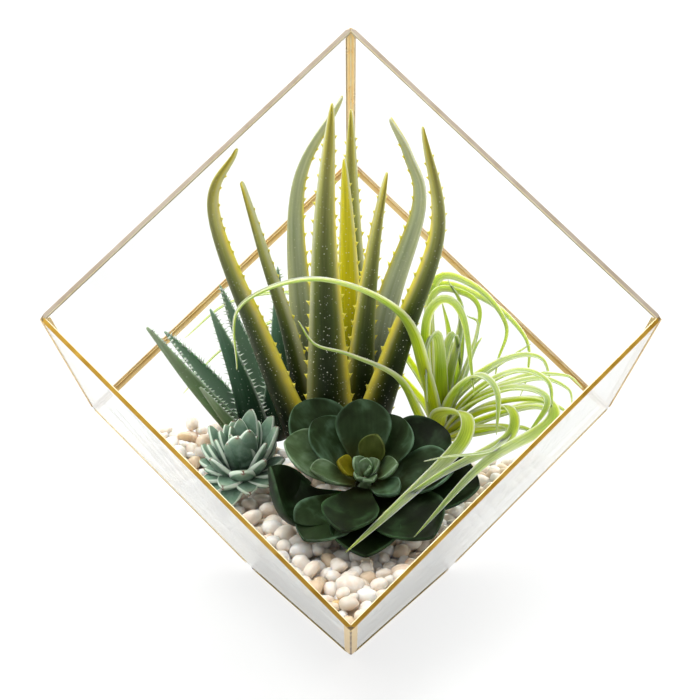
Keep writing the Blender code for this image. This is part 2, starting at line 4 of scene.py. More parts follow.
import bmesh
import bpy
import numpy as np
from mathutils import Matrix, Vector


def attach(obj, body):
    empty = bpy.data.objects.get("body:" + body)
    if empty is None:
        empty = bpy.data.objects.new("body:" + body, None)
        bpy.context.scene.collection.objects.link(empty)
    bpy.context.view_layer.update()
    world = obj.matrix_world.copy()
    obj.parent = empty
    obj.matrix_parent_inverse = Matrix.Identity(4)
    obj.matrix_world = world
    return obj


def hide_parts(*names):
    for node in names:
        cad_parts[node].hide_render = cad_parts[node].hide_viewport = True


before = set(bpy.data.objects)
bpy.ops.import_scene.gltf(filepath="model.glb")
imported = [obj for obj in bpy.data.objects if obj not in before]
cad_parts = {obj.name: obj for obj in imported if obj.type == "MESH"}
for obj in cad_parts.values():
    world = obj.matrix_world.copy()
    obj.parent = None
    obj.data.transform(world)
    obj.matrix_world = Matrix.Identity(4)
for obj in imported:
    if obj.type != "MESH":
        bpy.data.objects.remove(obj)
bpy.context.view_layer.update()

up = np.array([0.0, 0.0, 1.0])
print("frame loaded:", len(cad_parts), "nodes")


# small helpers

def toLinear(code):
    # sRGB hex to linear
    values = [int(code[k:k + 2], 16) / 255 for k in (1, 3, 5)]
    return (*[v / 12.92 if v <= 0.04045 else ((v + 0.055) / 1.055) ** 2.4 for v in values], 1.0)


def addNode(owner, kind, inputs=None, stops=None, **settings):
    # a shader node with its settings. An input is a value, a hex colour, a socket, or a node whose first live
    # output is meant. Stops are for a colour ramp
    tree = owner.node_tree
    node = tree.nodes.new("ShaderNode" + kind)
    for key, value in settings.items():
        setattr(node, key, value)
    for key, value in (inputs or {}).items():
        if isinstance(value, bpy.types.Node):
            value = next(output for output in value.outputs if output.enabled)
        if isinstance(value, bpy.types.NodeSocket):
            tree.links.new(value, node.inputs[key])
        else:
            node.inputs[key].default_value = toLinear(value) if isinstance(value, str) else value
    if stops:
        elements = node.color_ramp.elements
        while len(elements) < len(stops):
            elements.new(0.5)
        for element, (place, code) in zip(elements, stops):
            element.position = place
            element.color = toLinear(code)
    return node


def newMaterial(name):
    material = bpy.data.materials.new(name)
    material.use_nodes = True
    material.node_tree.nodes.clear()
    return material


def perMetre(size):
    # how often a pattern of this size in millimetres comes in a metre
    return 1000 / size


def strength(material, *factors):
    # how strongly a coat shows: the product of its factors, where (value, low, high, from, to) is a soft step
    total = None
    for factor in factors:
        if isinstance(factor, tuple):
            value, low, high, *ends = factor
            first, last = ends or (0.0, 1.0)
            factor = addNode(material, "MapRange", {
                "Value": value, "From Min": low, "From Max": high, "To Min": first, "To Max": last},
                interpolation_type="SMOOTHSTEP")
        if total is not None:
            factor = addNode(material, "Math", {0: total, 1: factor}, operation="MULTIPLY")
        total = factor
    return total


def coats(material, colour, *layers):
    # coats of colour over one another, each with the way it blends and the factors of its strength
    for coat, blend, *factors in layers:
        colour = addNode(material, "Mix", {
            0: strength(material, *factors), 6: colour, 7: coat}, data_type="RGBA", blend_type=blend)
    return colour


def metres(values):
    # from the millimetres of the tables
    return np.array(values, float) / 1000


def unit(vector):
    return np.asarray(vector, float) / np.linalg.norm(vector)


def compass(degrees):
    angle = math.radians(degrees)
    return np.array([math.cos(angle), math.sin(angle), 0.0])


def smoothWay(points, shares):
    # points at the given shares of the length of a smooth curve through the given ones
    given = np.array(points, float)
    ends = np.vstack([2 * given[0] - given[1], given, 2 * given[-1] - given[-2]])
    steps = np.linspace(0, 1, 24, endpoint=False)[:, None]  # enough to measure its length by
    runs = [
        b + 0.5 * steps * ((c - a) + steps * ((2 * a - 5 * b + 4 * c - d) + steps * (3 * b - a - 3 * c + d)))
        for a, b, c, d in zip(ends, ends[1:], ends[2:], ends[3:])
    ]
    dense = np.vstack([*runs, given[-1:]])
    run = np.concatenate([[0.0], np.cumsum(np.linalg.norm(np.diff(dense, axis=0), axis=1))])
    wanted = np.asarray(shares) * run[-1]
    return np.column_stack([np.interp(wanted, run, dense[:, axis]) for axis in range(3)])


def shifted(sides, first):
    # faces whose points come after others
    return [tuple(i + first for i in side) for side in sides]


def ringFaces(first, around, rings):
    # four-sided faces from each ring of points to the next
    return [(k + i, k + (i + 1) % around, k + (i + 1) % around + around, k + i + around)
            for k in range(first, first + (rings - 1) * around, around) for i in range(around)]


def prismFaces(count):
    # the sides and the two ends of a prism
    return [*ringFaces(0, count, 2), tuple(range(count))[::-1], tuple(range(count, 2 * count))]


def taperFaces(first, around, rings):
    # the sides, the point and the flat start of a shape whose last ring closes in a point
    last = first + (rings - 1) * around
    point = [(last + i, last + (i + 1) % around, last + around) for i in range(around)]
    return [*ringFaces(first, around, rings), *point, tuple(range(first, first + around))[::-1]]


def readMesh(shape):
    # the points and faces of a working mesh, which is then let go
    points = np.array([v.co[:] for v in shape.verts])
    sides = [[v.index for v in f.verts] for f in shape.faces]
    shape.free()
    return points, sides


def meshPiece(name, points, faces, material, values=None, uvs=None, smooth=True):
    # a mesh object with one value per point for each named attribute
    mesh = bpy.data.meshes.new(name)
    mesh.from_pydata([tuple(map(float, p)) for p in points], [], faces)
    for key, data in (values or {}).items():
        layer = mesh.attributes.new(key, "FLOAT", "POINT")
        layer.data.foreach_set("value", np.asarray(data, dtype=np.float32))
    if uvs is not None:
        corners = np.empty(len(mesh.loops), dtype=np.int32)
        mesh.loops.foreach_get("vertex_index", corners)
        layer = mesh.uv_layers.new(name="UVMap")
        layer.data.foreach_set("uv", np.asarray(uvs, dtype=np.float32)[corners].ravel())
    if smooth:
        mesh.shade_smooth()
    mesh.materials.append(material)
    mesh.update()
    made = bpy.data.objects.new(name, mesh)
    bpy.context.scene.collection.objects.link(made)
    return made


def settle(piece, slot, *nodes):
    # ties a piece to the frame
    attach(piece, "root")
    if nodes:
        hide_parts(*nodes)


def pieceName(node):
    first, *rest = node.split("_")
    return first + "".join(word.capitalize() for word in rest)


# camera and light

camera = {"target": (0, 0, 0.1389), "distance": 1.0516, "elevation": 22.07, "lens": 108.7, "shift": -0.00114}
light = {
    "bright": (0.0, 0.62, 0.78), "low": 0.16, "high": 1.25, "aim": (0, 0, 0.12),
    "lamps": {
        "back": {"place": (0.5, 1.3, 0.9), "size": 1.6, "power": 22},
        "top": {"place": (-0.5, 0.15, 1.4), "size": 1.0, "power": 15},
        "front": {"place": (-0.9, -1.1, 1.0), "size": 1.0, "power": 2.5},
    },
}
floorLook = {"size": 9.0, "under": 0.0003, "colour": "#727271", "glow": 0.80, "bounce": 0.30}


def buildCamera():
    data = bpy.data.cameras.new("camera")
    data.lens, data.shift_x = camera["lens"], camera["shift"]
    made = bpy.data.objects.new("camera", data)
    bpy.context.scene.collection.objects.link(made)
    rise = math.radians(camera["elevation"])
    target = Vector(camera["target"])
    made.location = target + Vector((0, -math.cos(rise), math.sin(rise))) * camera["distance"]
    made.rotation_euler = (target - made.location).to_track_quat("-Z", "Y").to_euler()
    bpy.context.scene.camera = made
    print("camera set")


def buildLight():
    # a soft white room, brighter above and behind, and three soft lamps
    world = bpy.data.worlds.new("studio")
    bpy.context.scene.world = world
    world.use_nodes = True
    world.node_tree.nodes.clear()
    view = addNode(world, "TexCoord")
    toward = addNode(world, "VectorMath", {
        0: view.outputs["Generated"], 1: light["bright"]}, operation="DOT_PRODUCT")
    glow = addNode(world, "MapRange", {
        "Value": toward.outputs["Value"], "From Min": -1.0, "From Max": 1.0,
        "To Min": light["low"], "To Max": light["high"]})
    shade = addNode(world, "Background", {"Strength": glow})
    addNode(world, "OutputWorld", {"Surface": shade})
    for name, look in light["lamps"].items():
        data = bpy.data.lights.new(f"{name}Light", "AREA")
        data.size, data.energy = look["size"], look["power"]
        lamp = bpy.data.objects.new(f"{name}Light", data)
        bpy.context.scene.collection.objects.link(lamp)
        lamp.location = look["place"]
        aim = Vector(light["aim"]) - lamp.location
        lamp.rotation_euler = aim.to_track_quat("-Z", "Y").to_euler()
    bpy.context.scene.view_settings.view_transform = "Standard"
    print("light set")


def buildFloor():
    # white diffusing sheet of a light table, with a faint tooth
    material = newMaterial("whiteDiffuserSheet")
    path = addNode(material, "LightPath")
    diffuse = path.outputs["Is Diffuse Ray"]
    glow = strength(material, (diffuse, 0.0, 1.0, floorLook["glow"], floorLook["bounce"]))
    # places run from 0 to 1 across it. A tooth of 10 mm is coarser than the real one, so that it can show
    tooth = addNode(material, "TexNoise", {"Scale": floorLook["size"] * perMetre(10), "Detail": 3.0})
    bump = addNode(material, "Bump", {"Height": tooth, "Strength": 0.05, "Distance": 0.0002})
    sheet = addNode(material, "BsdfPrincipled", {
        "Base Color": floorLook["colour"], "Roughness": 0.9, "Normal": bump,
        "Emission Color": "#FFFFFF", "Emission Strength": glow})
    addNode(material, "OutputMaterial", {"Surface": sheet})
    half = floorLook["size"] / 2
    corners = [(x * half, y * half, -floorLook["under"]) for x, y in ((-1, -1), (1, -1), (1, 1), (-1, 1))]
    meshPiece("floor", corners, [(0, 1, 2, 3)], material, smooth=False)
    print("floor built")


# the case

case = {
    "edge": 0.200, "cut": 0.075, "blunt": 0.0018,
    # strips: the sheet, how deep their inner side lies, the inner leg, the rolled rim, the soft folds, and
    # between which slants a face counts as rolled
    "sheet": 0.0003, "inside": 0.0022, "innerLeg": 0.0022, "gap": 0.0003, "rolled": 0.0004, "fold": 0.00012,
    "rolledSlant": (-0.9, -0.4),
    # how far leaves keep from the inner legs
    "leafGap": 0.0006,
    # panes: their two sides, how far they are set back from the open rim and from each other, and their edges
    "glassOutside": 0.0004, "glassInside": 0.0018, "setBack": 0.0002, "apart": 0.0001, "seam": 0.0001,
    # solder: drops at the corners, sunk by so many radii, and beads between two faces at their depth
    "blob": 0.0012, "sunk": 1.25, "lumps": 0.12, "solderSeed": 3, "beadEnd": 0.004,
    "beads": (("lowerLeft", "lowerRight", "base", 0.0002), ("upperLeft", "upperRight", "back", 0.0024)),
}


def cubeFaces():
    # the cube stands on a corner: each face's outward normal and its distance from the origin
    across, down = math.sqrt(2 / 3), 1 / math.sqrt(3)
    toward = {}
    for name, k in (("front", 0), ("right", 1), ("left", -1)):
        turn = math.radians(120 * k)
        toward[name] = np.array([across * math.sin(turn), -across * math.cos(turn), down])
    corner = np.array([0.0, 0.0, -case["cut"] / math.sqrt(3)])
    planes = {
        "front": (toward["front"], corner + case["edge"] * toward["front"]),
        "upperLeft": (toward["left"], corner + case["edge"] * toward["left"]),
        "upperRight": (toward["right"], corner + case["edge"] * toward["right"]),
        "back": (-toward["front"], corner),
        "lowerLeft": (-toward["right"], corner),
        "lowerRight": (-toward["left"], corner),
        "base": (-up, np.zeros(3)),
    }
    return {name: (normal, float(normal @ point)) for name, (normal, point) in planes.items()}


faces = cubeFaces()


def meet(*depths):
    # the point at the given depth below each of three faces
    normals = np.array([faces[face][0] for face, _ in depths])
    reach = np.array([faces[face][1] - depth for face, depth in depths])
    return np.linalg.solve(normals, reach)


def keepInside(points, names, depth, radii=0.0):
    # moves what is past the given depth below the named faces back to it
    for name in names:
        normal, reach = faces[name]
        outside = (points @ normal - (reach - depth - radii)).clip(0)
        points = points - outside[:, None] * normal
    return points


mirror = {
    "upperLeft": "upperRight", "upperRight": "upperLeft",
    "lowerLeft": "lowerRight", "lowerRight": "lowerLeft",
}


def bothSides(rows):
    # each row, and after each left one its mirror image
    full = {}
    for node, row in rows.items():
        full[node] = row
        if node.endswith("left"):
            full[node.replace("left", "right")] = [mirror.get(word, word) for word in row]
    return full


# each strip's two faces, the faces where it ends, its finish, lit or shaded for where the strip lies (painted
# light and painted shade), and the width of its outer leg
strips = bothSides({
    "rim_strip_upper_left": ("front", "upperLeft", "upperRight", "lowerLeft", "pale", 0.0026),
    "rim_strip_lower_left": ("front", "lowerLeft", "upperLeft", "lowerRight", "gold", 0.0026),
    "top_strip": ("upperLeft", "upperRight", "front", "back", "bright", 0.0036),
    "side_strip_left": ("upperLeft", "lowerLeft", "front", "back", "light", 0.0010),
    "front_foot_strip": ("lowerLeft", "lowerRight", "front", "base", "worn", 0.0044),
    "back_strip_upper_left": ("back", "upperLeft", "upperRight", "lowerLeft", "light", 0.0016),
    "back_strip_lower_left": ("back", "lowerLeft", "upperLeft", "base", "low", 0.0010),
    "base_strip_left": ("base", "lowerLeft", "lowerRight", "back", "low", 0.0012),
    "base_strip_back": ("base", "back", "lowerLeft", "lowerRight", "low", 0.0012),
})
# each pane's own face and the faces round it, in order
panes = bothSides({
    "pane_upper_left": ("upperLeft", "front", "upperRight", "back", "lowerLeft"),
    "pane_lower_left": ("lowerLeft", "front", "upperLeft", "back", "base", "lowerRight"),
    "pane_back": ("back", "upperLeft", "upperRight", "lowerRight", "base", "lowerLeft"),
    "pane_base": ("base", "back", "lowerRight", "lowerLeft"),
})
# each metal: its name, colour, darker clouds, roughness, colour at the foot and how metallic it looks. All
# but the solder are lit and shaded copies of one brass, made lighter or darker for the light that falls on
# each strip: painted light and painted shade. The edge finish is a painted highlight
metals = {
    "gold": ("goldBrassSheet", "#E0B450", "#BC8E30", 0.34, "#80590A", 1.0),
    "pale": ("paleBrassSheet", "#CEC0AE", "#BEAC95", 0.45, "#B49F82", 0.35),
    "light": ("lightBrassSheet", "#F8DEA6", "#EAC37C", 0.36, "#D0A860", 0.65),
    "bright": ("brightBrassSheet", "#FBE0A2", "#F4CE84", 0.30, "#B89858", 0.75),
    # the front foot strip's finish is lightened against the shade under the case: painted light
    "worn": ("footStripLitBrassSheet", "#F0DCAC", "#C8A870", 0.42, "#DCC08A", 0.8),
    "low": ("lowBrassSheet", "#FFF0C4", "#F0D69A", 0.50, "#F4DCA4", 0.5),
    "edge": ("litBrassEdge", "#FFF6D6", "#FBE8B4", 0.30, "#FFF0C0", 0.3),
    "solder": ("dullSolder", "#B39C70", "#7A6238", 0.45, "#4A2200", 0.75),
}


def brassMaterial(name, colour, darker, roughness, foot, metallic):
    # rolled sheet brass, lacquered: satin, a little cloudy, browner towards the foot, with fine marks, drawn
    # coarser than real ones so that they can show
    material = newMaterial(name)
    place = addNode(material, "TexCoord").outputs["Object"]
    cloud = addNode(material, "TexNoise", {
        "Vector": place, "Scale": perMetre(11.11), "Detail": 4.0, "Roughness": 0.6})
    tone = addNode(material, "ValToRGB", {"Fac": cloud}, [(0.30, darker), (0.66, colour)])
    height = addNode(material, "SeparateXYZ", {"Vector": place}).outputs["Z"]
    marks = addNode(material, "TexNoise", {"Vector": place, "Scale": perMetre(0.7143), "Detail": 2.0})
    rough = addNode(material, "MapRange", {
        "Value": cloud, "From Min": 0.3, "From Max": 0.7,
        "To Min": roughness - 0.06, "To Max": roughness + 0.10})
    metal = addNode(material, "BsdfPrincipled", {
        "Base Color": coats(material, tone, (foot, "MIX", (height, 0.0, 0.14, 1.0, 0.0))),
        "Metallic": metallic, "Roughness": rough,
        "Normal": addNode(material, "Bump", {"Height": marks, "Strength": 0.12, "Distance": 0.00008})})
    addNode(material, "OutputMaterial", {"Surface": metal})
    return material


def glassMaterial(name, tint, thin, foot=None):
    # float glass: sharp, faintly tinted, and it lets the lamps through
    material = newMaterial(name)
    if foot:
        # painted shade: a grey-green darkening towards the lowest corner, less towards the sides
        place = addNode(material, "TexCoord").outputs["Object"]
        split = addNode(material, "SeparateXYZ", {"Vector": place})
        aside = addNode(material, "Math", {0: split.outputs["X"]}, operation="ABSOLUTE")
        tint = coats(material, tint, (
            foot, "MIX", (split.outputs["Z"], 0.0, 0.10, 1.0, 0.1), (aside, 0.040, 0.056, 1.0, 0.35)))
    glass = addNode(material, "BsdfPrincipled", {
        "Base Color": tint, "Roughness": 0.0, "IOR": 1.5, "Transmission Weight": 1.0,
        "Specular IOR Level": 0.15})
    clear = addNode(material, "BsdfTransparent", {"Color": "#FCFDFC"})
    shadow = addNode(material, "LightPath").outputs["Is Shadow Ray"]
    both = addNode(material, "MixShader", {
        0: strength(material, (shadow, 0.0, 1.0, thin, 1.0)), 1: glass, 2: clear})
    addNode(material, "OutputMaterial", {"Surface": both})
    return material


def runSection(section, first, second, start, end):
    # a closed strip with the given section along the edge of two faces, mitred at its ends
    points = [
        meet((first, a), (second, b), (last, max(a, b) + case["gap"] / 2))
        for last in (start, end) for a, b in section
    ]
    return points, prismFaces(len(section))


def stripMesh(first, second, start, end, leg):
    # a rim is a channel over the pane's edge; the other strips are an outer and an inner fold over two panes
    sheet, inside, inner, rolled = case["sheet"], case["inside"], case["innerLeg"], case["rolled"]
    under = inside - sheet
    if first == "front":
        channel = (
            (0, 0), (0, inside - rolled), (rolled, inside), (inner, inside), (inner, under),
            (sheet + rolled, under), (sheet, under - rolled), (sheet, sheet), (leg, sheet), (leg, 0))
        return runSection(channel, first, second, start, end)
    reach = inside + inner
    outer = ((0, 0), (0, leg), (sheet, leg), (sheet, sheet), (leg, sheet), (leg, 0))
    fold = (
        (under, under), (under, reach), (inside, reach), (inside, inside), (reach, inside), (reach, under))
    points, sides = runSection(outer, first, second, start, end)
    more, moreSides = runSection(fold, first, second, start, end)
    return points + more, sides + shifted(moreSides, len(points))


def outward(made, corners=()):
    # cuts the case's sharp corners off a closed mesh and turns its faces outwards
    shape = bmesh.new()
    shape.from_mesh(made.data)
    for corner in corners:
        normal = unit(sum(faces[face][0] for face in corner))
        middle = meet(*[(face, 0) for face in corner]) - normal * case["blunt"]
        parts = bmesh.ops.bisect_plane(
            shape, geom=shape.verts[:] + shape.edges[:] + shape.faces[:], dist=1e-6, plane_co=middle,
            plane_no=normal, clear_outer=True)
        cut = [part for part in parts["geom_cut"] if isinstance(part, bmesh.types.BMEdge)]
        bmesh.ops.holes_fill(shape, edges=cut)
    bmesh.ops.recalc_face_normals(shape, faces=shape.faces)
    shape.to_mesh(made.data)
    shape.free()


def paneMesh(own, *around):
    # a thin pane whose edges are cut where its neighbours' are, and set back inside the open rim
    points = []
    rim = case["glassOutside"] + case["setBack"]
    for depth in (case["glassOutside"], case["glassInside"]):
        for pair in zip(around, around[1:] + around[:1]):
            sides = [(face, rim if face == "front" else depth + case["apart"]) for face in pair]
            points.append(meet((own, depth), *sides))
    return points, prismFaces(len(around))


def soften(made, width, segments):
    # rounds a piece's edges
    bevel = made.modifiers.new("softEdge", "BEVEL")
    bevel.width, bevel.segments = width, segments


def buildCase():
    clear = glassMaterial("clearFloatGlass", "#FCFDFC", 0.92)
    # the lower panes are tinted grey, which dims what shows through them, and darker at the foot: painted
    # shade
    shadedGlass = glassMaterial("shadedLowerFloatGlass", "#E8EBE8", 0.15, "#747C64")
    for node, (own, *around) in panes.items():
        points, sides = paneMesh(own, *around)
        made = meshPiece(pieceName(node), points, sides, shadedGlass if "lower" in node else clear, smooth=False)
        outward(made, [(own, *pair) for pair in zip(around, around[1:] + around[:1])])
        soften(made, case["seam"], 1)
        settle(made, "clear_glass", node)
    finishes = {finish: brassMaterial(*look) for finish, look in metals.items()}
    for node, (first, second, start, end, finish, leg) in strips.items():
        points, sides = stripMesh(first, second, start, end, leg)
        made = meshPiece(pieceName(node), points, sides, finishes[finish], smooth=False)
        outward(made, [(first, second, start), (first, second, end)])
        if first == "front":
            # the rolled inner edge of the rim gets the lit edge finish, a painted highlight: it slants
            # between the rim's face and its inner side
            made.data.materials.append(finishes["edge"])
            steep, slight = case["rolledSlant"]
            for side in made.data.polygons:
                side.material_index = int(steep < np.dot(side.normal, faces[second][0]) < slight)
        soften(made, case["fold"], 2)
        settle(made, "brass", node)
    buildSolder(finishes["solder"], finishes["edge"])
    print("case built")


def buildSolder(material, paintedHighlight):
    # a small drop where the strips meet at each corner, and a bead along two of the strips
    corners = [
        ("front", "upperLeft", "lowerLeft"), ("front", "upperRight", "lowerRight"),
        ("front", "lowerLeft", "lowerRight"), ("back", "upperLeft", "upperRight"),
        ("back", "upperLeft", "lowerLeft"), ("back", "upperRight", "lowerRight"),
        ("base", "lowerLeft", "lowerRight"), ("base", "back", "lowerLeft"), ("base", "back", "lowerRight"),
    ]
    shape = bmesh.new()
    bmesh.ops.create_icosphere(shape, subdivisions=3, radius=1.0)
    ball, sides = readMesh(shape)
    random = np.random.default_rng(case["solderSeed"])
    points, drops = [], []
    for corner in corners:
        middle = meet(*[(face, case["sunk"] * case["blob"]) for face in corner])
        waves = random.normal(size=(2, 3)) * 2
        lumps = 1 + case["lumps"] * np.sin(ball @ waves[0] + waves[1, 0])
        drops.append(shifted(sides, len(points)))
        points.extend(middle + case["blob"] * ball * lumps[:, None])
    seam = {"width": 0.0009, "thickness": 0.00045, "hollow": 0.0, "belly": 1.0, "blunt": 1.0, "tipDense": 1.0,
            "rings": 60, "around": 12, "widthAt": lambda t: 1 + 0.18 * math.sin(37 * t) * math.sin(11 * t)}
    for left, right, low, deep in case["beads"]:
        ends = [meet((left, deep), (right, deep), (face, case["beadEnd"])) for face in ("front", low)]
        bead = leafMesh([ends[0], ends[0] * 0.5 + ends[1] * 0.5, ends[1]], np.array([1.0, 0, 0]), seam)
        drops.append(shifted(bead["faces"], len(points)))
        points.extend(bead["points"])
    made = meshPiece("solder", points, [side for drop in drops for side in drop], material)
    # the bead along the top edge gets the lit edge finish: a painted highlight
    made.data.materials.append(paintedHighlight)
    for side in made.data.polygons[-len(drops[-1]):]:
        side.material_index = 1
    settle(made, "brass")


# the pebbles

bed = {
    "stones": 2450, "radius": 0.0036, "spread": 0.17, "sizes": (0.7, 1.45), "seed": 11,
    # where they lie: the box they start in, the top of the bed and its mound at the back
    "low": (-0.12, -0.14, 0.003), "high": (0.12, 0.082, 0.074),
    "top": 0.057, "moundHeight": 0.016, "moundMiddle": (-0.086, 0.073), "moundRadius": 0.041,
    # how they settle: rounds, how near counts as a neighbour, how tight they lie and how far each push goes
    "rounds": 160, "near": 3.2, "tight": 0.97, "push": 0.30, "sink": 0.0002,
    # how much of their radius keeps under the top, inside the walls and off the stems
    "poke": 0.45, "offWalls": 0.86, "offStems": 0.6,
    # the walls, and how deep below the outside the stones end while they settle and when they are shaped
    "walls": ("lowerLeft", "lowerRight", "back", "base"), "depth": 0.0026, "flat": 0.0025,
    # each stem's place and radius, and the height from which the stones keep clear of it
    "stemFoot": 0.035, "stems": (
        (-0.008, 0.029, 0.009), (-0.050, 0.055, 0.006), (0.007, -0.010, 0.006), (-0.056, 0.006, 0.005),
        (0.045, 0.031, 0.005)),
    # their shape: three axes and how uneven these are, how square, how lumpy and how far they tilt
    "axes": (1.24, 1.0, 0.84), "uneven": (0.9, 1.1), "square": (0.80, 0.98),
    "waves": 1.3, "lumps": (0.09, 0.05), "tilt": 0.45,
    # which of them show: those near the top and those near the glass
    "shown": 0.0085, "shownWall": 0.010,
}


def stoneMaterial():
    # tumbled quartz and marble gravel: waxy, slightly see-through, a few amber and grey stones
    material = newMaterial("tumbledQuartz")
    stone = addNode(material, "NewGeometry").outputs["Random Per Island"]
    place = addNode(material, "TexCoord").outputs["Object"]
    kind = addNode(material, "ValToRGB", {"Fac": stone}, [
        (0.00, "#F4F1ED"), (0.30, "#F1EAE2"), (0.50, "#EEE2D6"), (0.64, "#F3F0EC"), (0.78, "#ECDAC8"),
        (0.88, "#E6CFB2"), (0.93, "#DEDAD5"), (0.97, "#E0BC80"), (1.00, "#F1EEEA")])
    cloud = addNode(material, "TexNoise", {
        "Vector": place, "Scale": perMetre(6.25), "Detail": 4.0, "Distortion": 0.6})
    veins = addNode(material, "ValToRGB", {"Fac": cloud}, [(0.35, "#E2D4C6"), (0.62, "#FFFFFF")])
    pits = addNode(material, "TexNoise", {"Vector": place, "Scale": perMetre(1.4286), "Detail": 3.0})
    body = addNode(material, "BsdfPrincipled", {
        "Base Color": coats(material, kind, (veins, "MULTIPLY", 0.55)), "Roughness": 0.34, "IOR": 1.54,
        "Normal": addNode(material, "Bump", {"Height": pits, "Strength": 0.18, "Distance": 0.00015}),
        "Subsurface Weight": 0.65, "Subsurface Scale": 0.006, "Subsurface Radius": (1.0, 0.82, 0.64)})
    addNode(material, "OutputMaterial", {"Surface": body})
    return material


def bedHeight(points):
    away = np.hypot(points[:, 0] - bed["moundMiddle"][0], points[:, 1] - bed["moundMiddle"][1])
    return bed["top"] + bed["moundHeight"] * np.exp(-((away / bed["moundRadius"]) ** 2))


def packStones():
    # lets round stones push each other apart and sink, inside the case and clear of the stems
    random = np.random.default_rng(bed["seed"])
    middles = random.uniform(bed["low"], bed["high"], (bed["stones"] * 8, 3))  # more than are kept
    for name in ("lowerLeft", "lowerRight", "back"):
        normal, reach = faces[name]
        middles = middles[middles @ normal < reach - bed["depth"] - bed["radius"]]
    middles = middles[middles[:, 2] < bedHeight(middles)][:bed["stones"]]
    radii = bed["radius"] * np.exp(random.normal(0, bed["spread"], len(middles))).clip(*bed["sizes"])
    for k in range(bed["rounds"]):
        if k % 8 == 0:
            squares = (middles**2).sum(1)
            squared = squares[:, None] + squares[None] - 2 * middles @ middles.T
            first, second = np.nonzero(np.triu(squared < (bed["near"] * bed["radius"]) ** 2, 1))
        apart = middles[first] - middles[second]
        distance = np.linalg.norm(apart, axis=1) + 1e-9
        overlap = (bed["tight"] * (radii[first] + radii[second]) - distance).clip(0)
        push = bed["push"] * apart * (overlap / distance)[:, None]
        np.add.at(middles, first, push)
        np.add.at(middles, second, -push)
        middles[:, 2] -= bed["sink"] * (1 - k / bed["rounds"])
        high = middles[:, 2:] > bed["stemFoot"]
        for x, y, stem in bed["stems"]:
            away = middles[:, :2] - (x, y)
            far = np.linalg.norm(away, axis=1)[:, None] + 1e-9
            middles[:, :2] += away / far * (stem + bed["offStems"] * radii[:, None] - far).clip(0) * high
        middles = keepInside(middles, bed["walls"], bed["depth"], bed["offWalls"] * radii)
        middles[:, 2] = np.minimum(middles[:, 2], bedHeight(middles) - bed["poke"] * radii)
    return middles, radii


def turned(angle, first, second):
    # a turn from one axis towards another
    matrix = np.eye(3)
    matrix[first, first] = matrix[second, second] = math.cos(angle)
    matrix[second, first] = math.sin(angle)
    matrix[first, second] = -matrix[second, first]
    return matrix


def stonePoints(ball, middle, radius, random):
    # one worn stone: an uneven, slightly square ellipsoid, lying more or less flat
    waves = random.normal(size=(2, 3)) * bed["waves"]
    phase = random.uniform(0, 6.28, 2)
    square = np.sign(ball) * np.abs(ball) ** random.uniform(*bed["square"])
    square = square / np.linalg.norm(square, axis=1)[:, None]
    broad, fine = np.sin(ball @ waves[0] + phase[0]), np.sin(2 * ball @ waves[1] + phase[1])
    shape = square * (1 + bed["lumps"][0] * broad + bed["lumps"][1] * fine)[:, None]
    size = radius * np.array(bed["axes"]) * random.uniform(*bed["uneven"], 3)
    turn, tilt, roll = random.uniform(0, 6.28), random.normal(0, bed["tilt"]), random.normal(0, bed["tilt"])
    return middle + (shape * size) @ (turned(turn, 0, 1) @ turned(tilt, 1, 2) @ turned(roll, 2, 0)).T


def cubeBall(steps):
    # a round mesh of six grids of four-sided faces
    ball = bmesh.new()
    for turn in range(6):
        grid = bmesh.ops.create_grid(ball, x_segments=steps, y_segments=steps, size=1.0)["verts"]
        for vert in grid:
            x, y = math.tan(vert.co.x * math.pi / 4), math.tan(vert.co.y * math.pi / 4)
            side = (x, y, 1.0) if turn % 2 else (y, x, -1.0)
            vert.co = Vector(side[turn // 2:] + side[:turn // 2])
            vert.co.normalize()
    bmesh.ops.remove_doubles(ball, verts=ball.verts, dist=1e-4)
    bmesh.ops.recalc_face_normals(ball, faces=ball.faces)
    return readMesh(ball)


def buildBed():
    random = np.random.default_rng(bed["seed"] + 1)
    middles, radii = packStones()
    material = stoneMaterial()
    depth = bedHeight(middles) - middles[:, 2]
    walls = {name: faces[name][1] - middles @ faces[name][0] for name in bed["walls"]}
    top = depth < bed["shown"]
    front = ~top & (np.minimum(walls["lowerLeft"], walls["lowerRight"]) < bed["shownWall"])
    behind = ~top & ~front & (np.minimum(walls["back"], walls["base"]) < bed["shownWall"])
    inside = ~top & ~front & ~behind
    # the stones that show most have the finest meshes
    groups = {"pebblesTop": (top, 6), "pebblesAtFrontGlass": (front, 4), "pebblesAtBackGlass": (behind, 4),
              "pebblesInside": (inside, 3)}
    for name, (chosen, steps) in groups.items():
        ball, sides = cubeBall(steps)
        points, stones = [], []
        for middle, radius in zip(middles[chosen], radii[chosen]):
            stones.extend(shifted(sides, len(points)))
            shape = stonePoints(ball, middle, radius, random)
            points.extend(keepInside(shape, bed["walls"], bed["flat"]))
        made = meshPiece(name, points, stones, material)
        settle(made, "white_pebbles", *(["pebble_bed"] if name == "pebblesTop" else []))
        print(name, int(chosen.sum()), "stones", 2 * len(stones), "triangles")


# leaves

leafValues = ("along", "across", "inner", "glow")


def leafFrames(points, side, start=None):
    # at each point of the way: the direction along, the direction across and the back's direction
    tangents = np.gradient(points, axis=0)
    if start is not None:
        tangents[0] = start
    frames = []
    for tangent in tangents:
        tangent = unit(tangent)
        side = unit(side - tangent * (side @ tangent))
        frames.append((tangent, side, np.cross(tangent, side)))
    return frames


def thickAt(look, share):
    # a leaf is thinner where it is narrower
    return look["thickness"] * (0.35 + 0.65 * share)


def marginGlow(x):
    # nothing near the middle, and most at the margin
    return min(max((abs(x) - 0.25) / 0.75, 0), 1) ** 2.5


